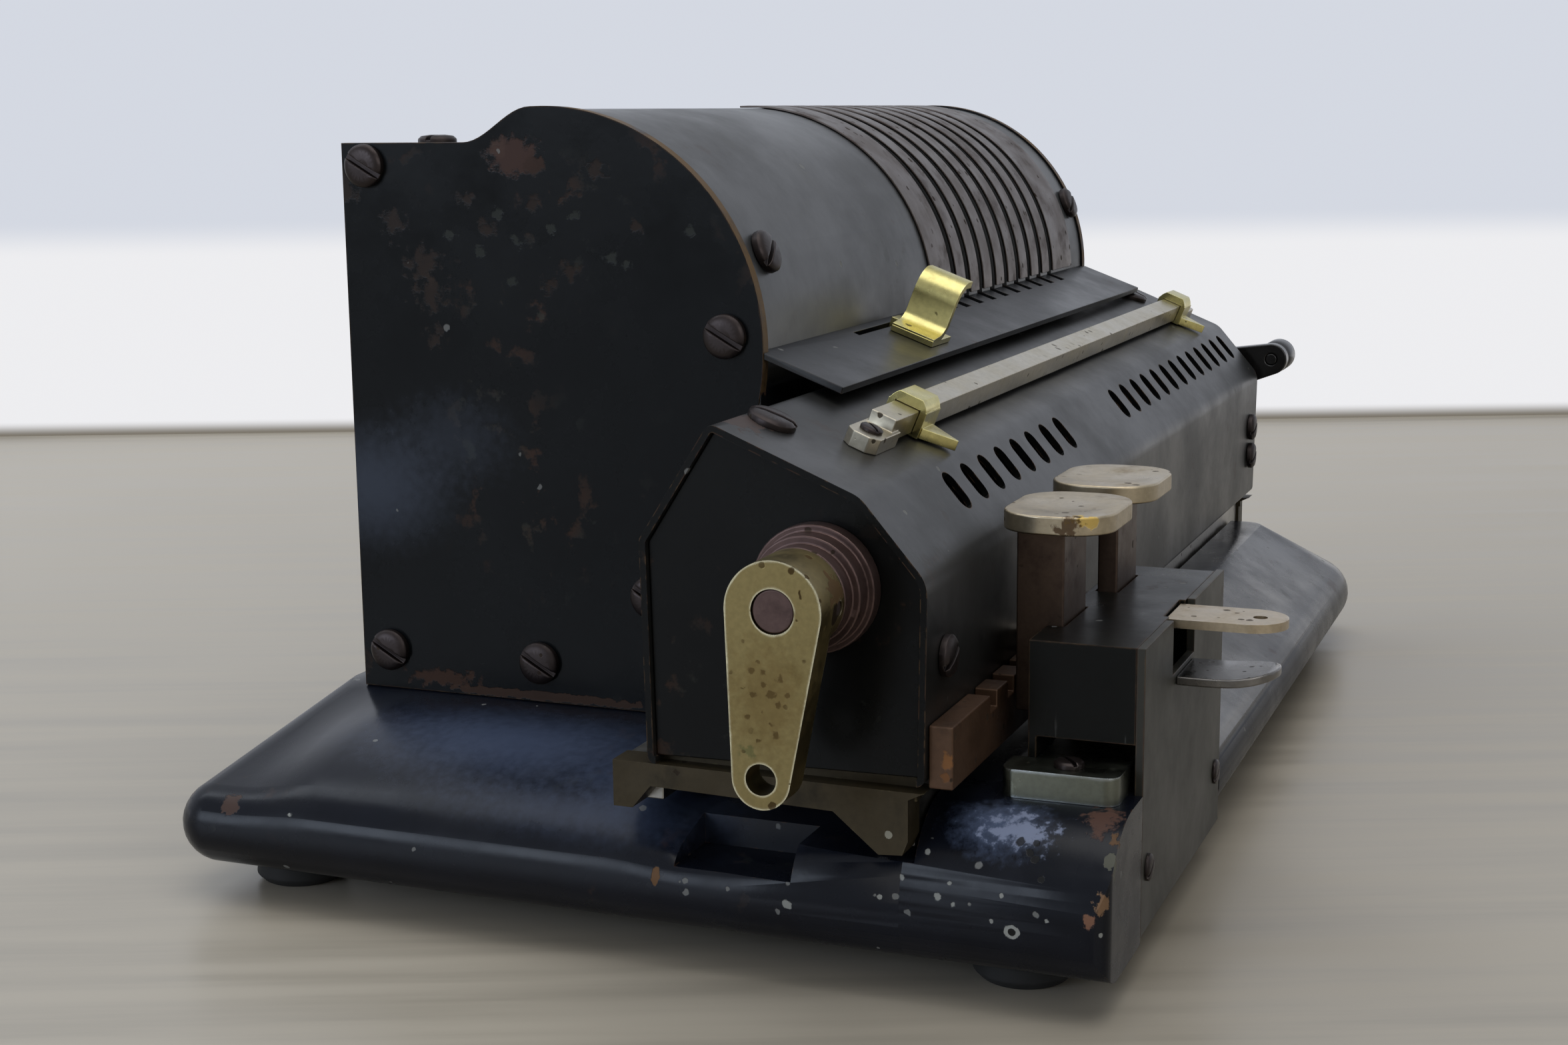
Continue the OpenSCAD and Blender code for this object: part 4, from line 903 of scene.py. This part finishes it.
BLACK = Enamel("black enamel", (0.0045, 0.005, 0.006), 0.34, dust=0.05)
PLATE_BLACK = Enamel(
    "side plate enamel", (0.0028, 0.0034, 0.004), 0.26, wear=0.55, mottle=0.5, flecks=0.01,
    dust=0.01, shine=0.12, rim=(0.16, 0.1, 0.045), marks=PLATE_MARKS)
END_BLACK = Enamel(
    "end plate enamel", (0.0028, 0.003, 0.003), 0.3, flecks=0.02, dust=0.01, shine=0.13)
BASE_BLACK = Enamel(
    "base enamel", (0.0035, 0.0045, 0.008), 0.26, wear=0.4, flecks=0.03, mottle=0.22, dust=0.0,
    shine=0.2, marks=BASE_MARKS)
COVER_BLACK = Enamel(
    "carriage enamel", (0.0085, 0.0087, 0.0085), 0.38, wear=0.5, dust=0.06, mottle=0.25,
    shine=0.5, marks=CARRIAGE_MARKS)
FRONT_SATIN = Enamel(
    "front plate satin", (0.022, 0.0215, 0.017), 0.46, wear=0.6, mottle=0.3, dust=0.12,
    flecks=0.008)
BOX_BLACK = Enamel(
    "key box enamel", (0.003, 0.0035, 0.0032), 0.3, wear=0.6, scratches=0.75, mottle=0.3,
    dust=0.01, shine=0.16)
SATIN_GREY = Enamel(
    "drum cover satin", (0.03, 0.0315, 0.033), 0.4, wear=0.35, mottle=0.2, dust=0.4,
    flecks=0.006, shine=0.6)
STRIP_BROWN = Metal(
    "number strip", (0.12, 0.1, 0.09), tarnish=(0.065, 0.048, 0.042), cover=0.5,
    stretch=(1.0, 0.05, 0.05))
# The bright edge colours below also paint rim highlights, as on the crank head, the collars and
# the stop plate.
CRANK = Metal(
    "aged nickel crank", (0.23, 0.18, 0.078), 0.36, tarnish=(0.15, 0.11, 0.04), cover=0.4,
    tarnish_scale=70.0, pits=0.16, pit_scale=560.0, pit_tone=(0.06, 0.035, 0.014),
    bright=(0.75, 0.7, 0.5), edge_wear_and_highlight=0.62, bright_width=0.9, marks=CRANK_MARKS)
NICKEL = Metal(
    "aged nickel", (0.44, 0.37, 0.26), 0.33, tarnish=(0.2, 0.15, 0.09), cover=0.5, pits=0.09,
    bright=(0.72, 0.66, 0.5), marks=CAP_MARKS)
KEY_STEM = Metal(
    "brown key stem", (0.085, 0.058, 0.044), 0.45, tarnish=(0.035, 0.02, 0.016), cover=0.5,
    metallic=0.8, bright=(0.22, 0.17, 0.14), edge_wear_and_highlight=0.4)
PALE_NICKEL = Metal(
    "pale nickel", (0.47, 0.43, 0.34), 0.34, tarnish=(0.3, 0.26, 0.17), cover=0.32,
    bright=(0.75, 0.72, 0.6))
TAB_STEEL = Metal(
    "warm tab", (0.47, 0.39, 0.28), 0.36, tarnish=(0.3, 0.22, 0.13), cover=0.45,
    bright=(0.7, 0.62, 0.5))
GREEN_NICKEL = Metal(
    "dark nickel", (0.16, 0.17, 0.14), 0.3, tarnish=(0.06, 0.06, 0.042), cover=0.45,
    bright=(0.5, 0.55, 0.6), edge_wear_and_highlight=0.6, bright_width=1.2)
POLISHED = Metal(
    "polished steel", (0.2, 0.19, 0.18), 0.24, tarnish=(0.2, 0.17, 0.13), cover=0.3,
    bright=(0.75, 0.74, 0.72))
BRASS = Metal(
    "polished brass", (0.58, 0.52, 0.22), 0.27, tarnish=(0.34, 0.28, 0.09), cover=0.3,
    pits=0.03, bright=(0.82, 0.78, 0.5))
BRONZE = Metal(
    "dull bronze", (0.045, 0.034, 0.017), 0.5, tarnish=(0.022, 0.018, 0.011), cover=0.5,
    metallic=0.55, bright=(0.14, 0.115, 0.06), edge_wear_and_highlight=0.35, marks=FRAME_MARKS)
BROWN_STEEL = Metal(
    "brown steel", (0.1, 0.064, 0.058), tarnish=(0.03, 0.018, 0.016), cover=0.5, metallic=0.8,
    bright=(0.26, 0.22, 0.2), edge_wear_and_highlight=0.5)
SHAFT_END = Metal(
    "shaft end", (0.035, 0.02, 0.018), 0.45, tarnish=(0.02, 0.012, 0.01), cover=0.5,
    metallic=0.4)
SCREW_STEEL = Metal(
    "screw steel", (0.036, 0.028, 0.027), 0.38, tarnish=(0.022, 0.016, 0.015), cover=0.5,
    metallic=0.8, bright=(0.2, 0.17, 0.16), edge_wear_and_highlight=0.42)
STEEL = Metal("working steel", (0.34, 0.33, 0.31), 0.34, tarnish=(0.14, 0.1, 0.07))
RACK = Metal(
    "brown rack", (0.1, 0.055, 0.032), 0.46, tarnish=(0.04, 0.022, 0.014), cover=0.5,
    metallic=0.6, bright=(0.26, 0.14, 0.08), marks=RACK_MARKS)
DIAL = Plain("number wheel black", (0.012, 0.0115, 0.011), 0.45)
GRIP = Plain("polished grip", (0.008, 0.0075, 0.0075), 0.25)
RUBBER = Plain("foot rubber", (0.012, 0.012, 0.012), 0.75)
FLOOR_PAINT = Boards("floor paint", (0.39, 0.35, 0.285), 0.34)
WALL_PAINT = WallPaint("wall paint", (0.66, 0.69, 0.76))


# ---- sub-assemblies


@dataclass
class Assembly:
    """What every sub-assembly has: how wide its edges are rounded, in millimetres."""

    edge: float = 0.3
    screw_edge: float = 0.22

    def clad(self, finish: Finish, *nodes: str, width: float | None = None,
             steps: int = 2) -> None:
        """Make the visible pieces of some CAD nodes in one finish.

        Args:
            finish: Their finish.
            nodes: The CAD nodes.
            width: Rounding of their edges in millimetres, or None for the usual one.
            steps: Segments of the rounding.
        """
        for node in nodes:
            finish.dress(refined(node, self.edge if width is None else width, steps))


@dataclass
class Case(Assembly):
    """Base, side plates, covers and their screws.

    The flare is the base's left lip. Its fields give its length from the plate, the heights of
    its foot and lip, the slope of the CAD face that its curve is lifted from, where that face
    turns down to the lip, and where the curve blends into the rear end and the notch.
    """

    cast_edge: float = 0.8
    cast_flat: float = 0.1
    sheet_edge: float = 0.15
    strip_edge: float = 0.12
    shelf_edge: float = 0.35
    rod_edge: float = 0.2
    flare: float = 45.0
    flare_top: float = 2.0
    foot_z: float = 32.06
    lip_z: float = 15.0
    slope: float = 0.2625
    slack: float = 0.25
    round_x: float = -37.0
    round_drop: float = 9.0
    power: float = 2.2
    notch_y: float = -46.0
    notch_blend: float = 14.0
    rear_y: float = 48.0
    rear_blend: float = 18.0
    cuts_y: tuple[float, ...] = (-43, -40, -36, -32, -10, 12, 30, 34, 39, 44, 48)
    cuts_x: Triple = (-44.0, -0.6, 2.5)

    def cut(self, base: Piece) -> None:
        """Cut the left flare across, so that its curve has corners to lift.

        The first cut takes each face that reaches past the notch, and the others only those
        that lie beyond it, so that the notch and what lies before it stay whole.

        Args:
            base: The base.
        """
        work = bmesh.new()
        work.from_mesh(base.data)
        reach, notch, _ = row((self.flare_top, self.notch_y, 0.0))
        planes = [(1, y) for y in (self.notch_y, *self.cuts_y)]
        planes += [(0, x) for x in np.arange(*self.cuts_x)]
        enough = any
        for axis, place in planes:
            faces = [face for face in work.faces if all(v.co.x < reach for v in face.verts)
                     and enough(v.co.y > notch - 1e-5 for v in face.verts)]
            edges = [edge for face in faces for edge in face.edges]
            ends = [end for face in faces for end in face.verts]
            at, way = np.zeros(3), np.zeros(3)
            at[axis], way[axis] = place, 1.0
            bmesh.ops.bisect_plane(work, geom=list(dict.fromkeys((*faces, *edges, *ends))),
                                   dist=1e-6, plane_co=tuple(row(at)), plane_no=tuple(way))
            enough = all
        work.to_mesh(base.data)
        work.free()

    def swell(self, base: Piece) -> None:
        """Lift the left flare into one long curve.

        The height above the lip is (foot - lip) times the square root of 1 - (-x / flare)^power.
        The old face and the new curve blend smoothly at the rear end and before the notch.

        Args:
            base: The base, cut across.
        """
        spots = np.empty(3 * len(base.data.vertices))
        base.data.vertices.foreach_get("co", spots)
        spots = spots.reshape(-1, 3) / MM + ORIGIN
        x, y, z = spots.T
        face = self.foot_z + self.slope * x
        top = np.where(x > self.round_x, np.abs(z - face) < self.slack,
                       z > np.maximum(self.lip_z, face - self.round_drop))
        top &= (x < -0.5) & (x > -self.flare - 0.5)
        along = np.clip(-x / self.flare, 0.0, 1.0)
        rise = np.sqrt(np.clip(1.0 - along ** self.power, 0.0, 1.0))
        curve = self.lip_z + (self.foot_z - self.lip_z) * rise
        share = (np.clip((self.rear_y - y) / self.rear_blend, 0.0, 1.0)
                 * np.clip((y - self.notch_y) / self.notch_blend, 0.0, 1.0))
        share = share * share * (3.0 - 2.0 * share)
        spots[:, 2] = np.where(top, z + (np.maximum(curve, z) - z) * share, z)
        base.data.vertices.foreach_set("co", row(spots).ravel())
        base.data.update()

    def build(self) -> None:
        """Make and dress the fixed pieces."""
        base = refined("base_shell", self.cast_edge, 3, self.cast_flat)
        self.cut(base)
        self.swell(base)
        BASE_BLACK.dress(base)
        self.clad(PLATE_BLACK, "left_plate", "right_plate")
        self.clad(SATIN_GREY, "drum_cover", width=self.sheet_edge, steps=1)
        self.clad(STRIP_BROWN, "number_strips", width=self.strip_edge, steps=1)
        self.clad(BLACK, "front_shelf", "crank_rest", width=self.shelf_edge)
        self.clad(SCREW_STEEL, "plate_screws", "cover_screws", "box_screws",
                  width=self.screw_edge)
        self.clad(STEEL, "tie_rods", "carriage_rails", width=self.rod_edge)
        self.clad(BRONZE, "rotor_bearings")
        self.clad(RUBBER, "feet")


@dataclass
class KeyBox(Assembly):
    """Key box on the base with its two keys, front plate and shift lever.

    Faces of a key below the stem's top have the stem's finish.
    """

    stem_top: float = 75.15
    cap_edge: float = 0.45
    stop_edge: float = 0.9
    lever_edge: float = 0.4

    def build(self) -> None:
        """Make and dress the box and its moving pieces."""
        self.clad(BOX_BLACK, "key_box")
        self.clad(FRONT_SATIN, "front_plate")
        self.clad(GREEN_NICKEL, "stop_plate", width=self.stop_edge, steps=3)
        self.clad(TAB_STEEL, "shift_lever", width=self.lever_edge)
        self.clad(POLISHED, "finger_rest", width=self.lever_edge)
        for node in ("near_key", "far_key"):
            key = refined(node, self.cap_edge, 3)
            NICKEL.dress(key)
            KEY_STEM.dress_part(key, per_face(key, "center")[:, 2] < self.stem_top * MM)


@dataclass
class Rotor(Assembly):
    """Shaft, pinwheels, setting levers and main crank."""

    levers: int = 9
    wheel_edge: float = 0.15
    crank_edge: float = 0.5

    def build(self) -> None:
        """Make and dress the turning pieces."""
        self.clad(STEEL, "rotor_shaft")
        self.clad(BRONZE, "pinwheels", width=self.wheel_edge, steps=1)
        self.clad(BROWN_STEEL, *(f"setting_lever_{k + 1}" for k in range(self.levers)))
        self.clad(NICKEL, "crank_arm", "crank_spindle", width=self.crank_edge)
        self.clad(GRIP, "crank_grip")


@dataclass
class Carriage(Assembly):
    """Sliding register carriage with its cover, frames, dials and clearing cranks.

    Faces of the cover that look sideways by more than end_facing are its cut ends.
    """

    cover_edge: float = 0.25
    frame_edge: float = 0.6
    shaft_edge: float = 0.35
    bar_edge: float = 0.4
    dial_edge: float = 0.25
    crank_edge: float = 0.6
    end_facing: float = 0.7

    def build(self) -> None:
        """Make and dress the carriage."""
        cover = refined("carriage_cover", self.cover_edge)
        COVER_BLACK.dress(cover)
        END_BLACK.dress_part(cover, np.abs(per_face(cover, "normal")[:, 0]) > self.end_facing)
        self.clad(END_BLACK, "end_plate_left", "end_plate_right")
        self.clad(BRONZE, "frame_left", "frame_right", "centre_bearing", width=self.frame_edge)
        self.clad(STEEL, "slide_runners")
        self.clad(RACK, "index_rack")
        self.clad(BROWN_STEEL, "shaft_collars", "counter_shaft", "result_shaft",
                  width=self.shaft_edge)
        self.clad(SHAFT_END, "counter_crank_pin")
        self.clad(PALE_NICKEL, "decimal_bar", width=self.bar_edge)
        self.clad(SCREW_STEEL, "carriage_screws", width=self.screw_edge)
        self.clad(DIAL, "counter_dials", "result_dials", width=self.dial_edge)
        self.clad(CRANK, "counter_crank", width=self.crank_edge, steps=3)
        self.clad(GRIP, "result_crank", width=self.crank_edge, steps=3)
        self.clad(GRIP, "result_knob")
        self.clad(BRASS, "near_marker", "far_marker", "shelf_marker")


# ---- room


@dataclass(frozen=True)
class Lamp:
    """A soft lamp: its name, place and size in metres, power in watts and colour."""

    name: str
    place: Triple
    size: tuple[float, float]
    power: float
    colour: Colour

    def hang(self, target: Vector) -> None:
        """Make the lamp, turned towards a point.

        Args:
            target: The point, in row metres.
        """
        data = bpy.data.lights.new(self.name, "AREA")
        data.shape = "RECTANGLE"
        data.size, data.size_y = self.size
        data.energy = self.power
        data.color = self.colour
        lamp = bpy.data.objects.new(self.name, data)
        lamp.location = self.place
        lamp.rotation_euler = (target - Vector(self.place)).to_track_quat("-Z", "Y").to_euler()
        bpy.context.scene.collection.objects.link(lamp)


@dataclass
class Room:
    """Camera, lamps, floor and wall.

    The eye is in machine millimetres, angles are in degrees, the lens and the sensor are in
    camera millimetres, and the wall, floor and lamps are in row metres.
    """

    eye: Triple = (-373.9, -199.06, 146.5)
    azimuth: float = -68.0968
    elevation: float = 10.5215
    roll: float = -0.6
    lens: float = 50.51
    sensor: float = 36.0
    near_clip: float = 0.01
    wall_foot: tuple[tuple[float, float], ...] = ((0.3267, 0.5703), (0.6242, -0.1184))
    wall_height: float = 2.2
    wall_spare: float = 5.0
    floor_low: float = -5.0
    floor_high: float = 6.0
    sky_colour: Colour = (0.93, 0.96, 1.0)
    sky: float = 0.5
    light: float = 0.2
    target: Triple = (0.0, 0.0, 0.05)
    lamps: tuple[Lamp, ...] = (
        Lamp("window", (-2.3, 1.4, 0.75), (1.6, 0.9), 20.0, (0.72, 0.83, 1.0)),
        Lamp("back", (0.3, 1.3, 1.5), (1.4, 1.0), 13.0, (0.84, 0.91, 1.0)),
        Lamp("top", (-0.2, -0.2, 1.8), (1.6, 1.6), 14.0, (1.0, 0.99, 0.97)),
        Lamp("front", (-1.2, -1.4, 0.9), (1.2, 0.9), 5.0, (1.0, 0.97, 0.93)),
    )

    def camera(self) -> None:
        """Place the camera where the photograph was taken.

        Forward is (-sin a cos e, cos a cos e, -sin e) for azimuth a and elevation e.
        """
        a, e = math.radians(self.azimuth), math.radians(self.elevation)
        forward = Vector((-math.sin(a) * math.cos(e), math.cos(a) * math.cos(e), -math.sin(e)))
        lens = bpy.data.cameras.new("camera")
        lens.lens = self.lens
        lens.sensor_width = self.sensor
        lens.clip_start = self.near_clip
        eye = bpy.data.objects.new("camera", lens)
        eye.location = Vector(row(self.eye))
        tilt = Euler((0, 0, math.radians(self.roll))).to_matrix()
        turn = forward.to_track_quat("-Z", "Y").to_matrix() @ tilt
        eye.rotation_euler = turn.to_euler()
        bpy.context.scene.collection.objects.link(eye)
        bpy.context.scene.camera = eye

    def air(self) -> None:
        """Fill the world with a weak even light that looks pale to the camera."""
        world = bpy.data.worlds.new("room")
        bpy.context.scene.world = world
        world.use_nodes = True
        g = Graph(world.node_tree)
        sky = world.node_tree.nodes["Background"]
        sky.inputs[0].default_value = (*self.sky_colour, 1.0)
        g.put(sky.inputs[1], g.ramp(seen(g), 0.0, 1.0, self.light, self.sky))

    def sheet(self, name: str, outline: Sequence[Sequence[float]], finish: Finish) -> None:
        """Stage a flat sheet.

        Args:
            name: Object name.
            outline: Its four corners in row metres, in order round it.
            finish: Its finish.
        """
        mesh = bpy.data.meshes.new(name)
        mesh.from_pydata([Vector(corner) for corner in outline], [], [(0, 1, 2, 3)])
        sheet = bpy.data.objects.new(name, mesh)
        bpy.context.scene.collection.objects.link(sheet)
        finish.dress(sheet)

    def floor(self) -> None:
        """Lay the floor."""
        low, high = self.floor_low, self.floor_high
        self.sheet("floor", [(low, low, 0), (high, low, 0), (high, high, 0), (low, high, 0)],
                   FLOOR_PAINT)

    def wall(self) -> None:
        """Stand the wall behind, along the line where the photograph shows its foot."""
        near, far = (np.array([*p, 0.0]) for p in self.wall_foot)
        along = (far - near) / np.linalg.norm(far - near)
        low, high = near - self.wall_spare * along, far + self.wall_spare * along
        up = np.array([0.0, 0.0, self.wall_height])
        self.sheet("wall", [low, high, high + up, low + up], WALL_PAINT)

    def build(self) -> None:
        """Set up the room."""
        self.camera()
        for lamp in self.lamps:
            lamp.hang(Vector(self.target))
        self.air()
        self.floor()
        self.wall()
        bpy.context.scene.view_settings.view_transform = "Standard"


def main() -> None:
    """Load the frame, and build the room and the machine."""
    logging.basicConfig(level=logging.INFO, format="%(message)s")
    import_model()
    for assembly in (Room(), Case(), KeyBox(), Rotor(), Carriage()):
        assembly.build()
        LOG.info("built %s", type(assembly).__name__)


if __name__ == "__main__":
    main()
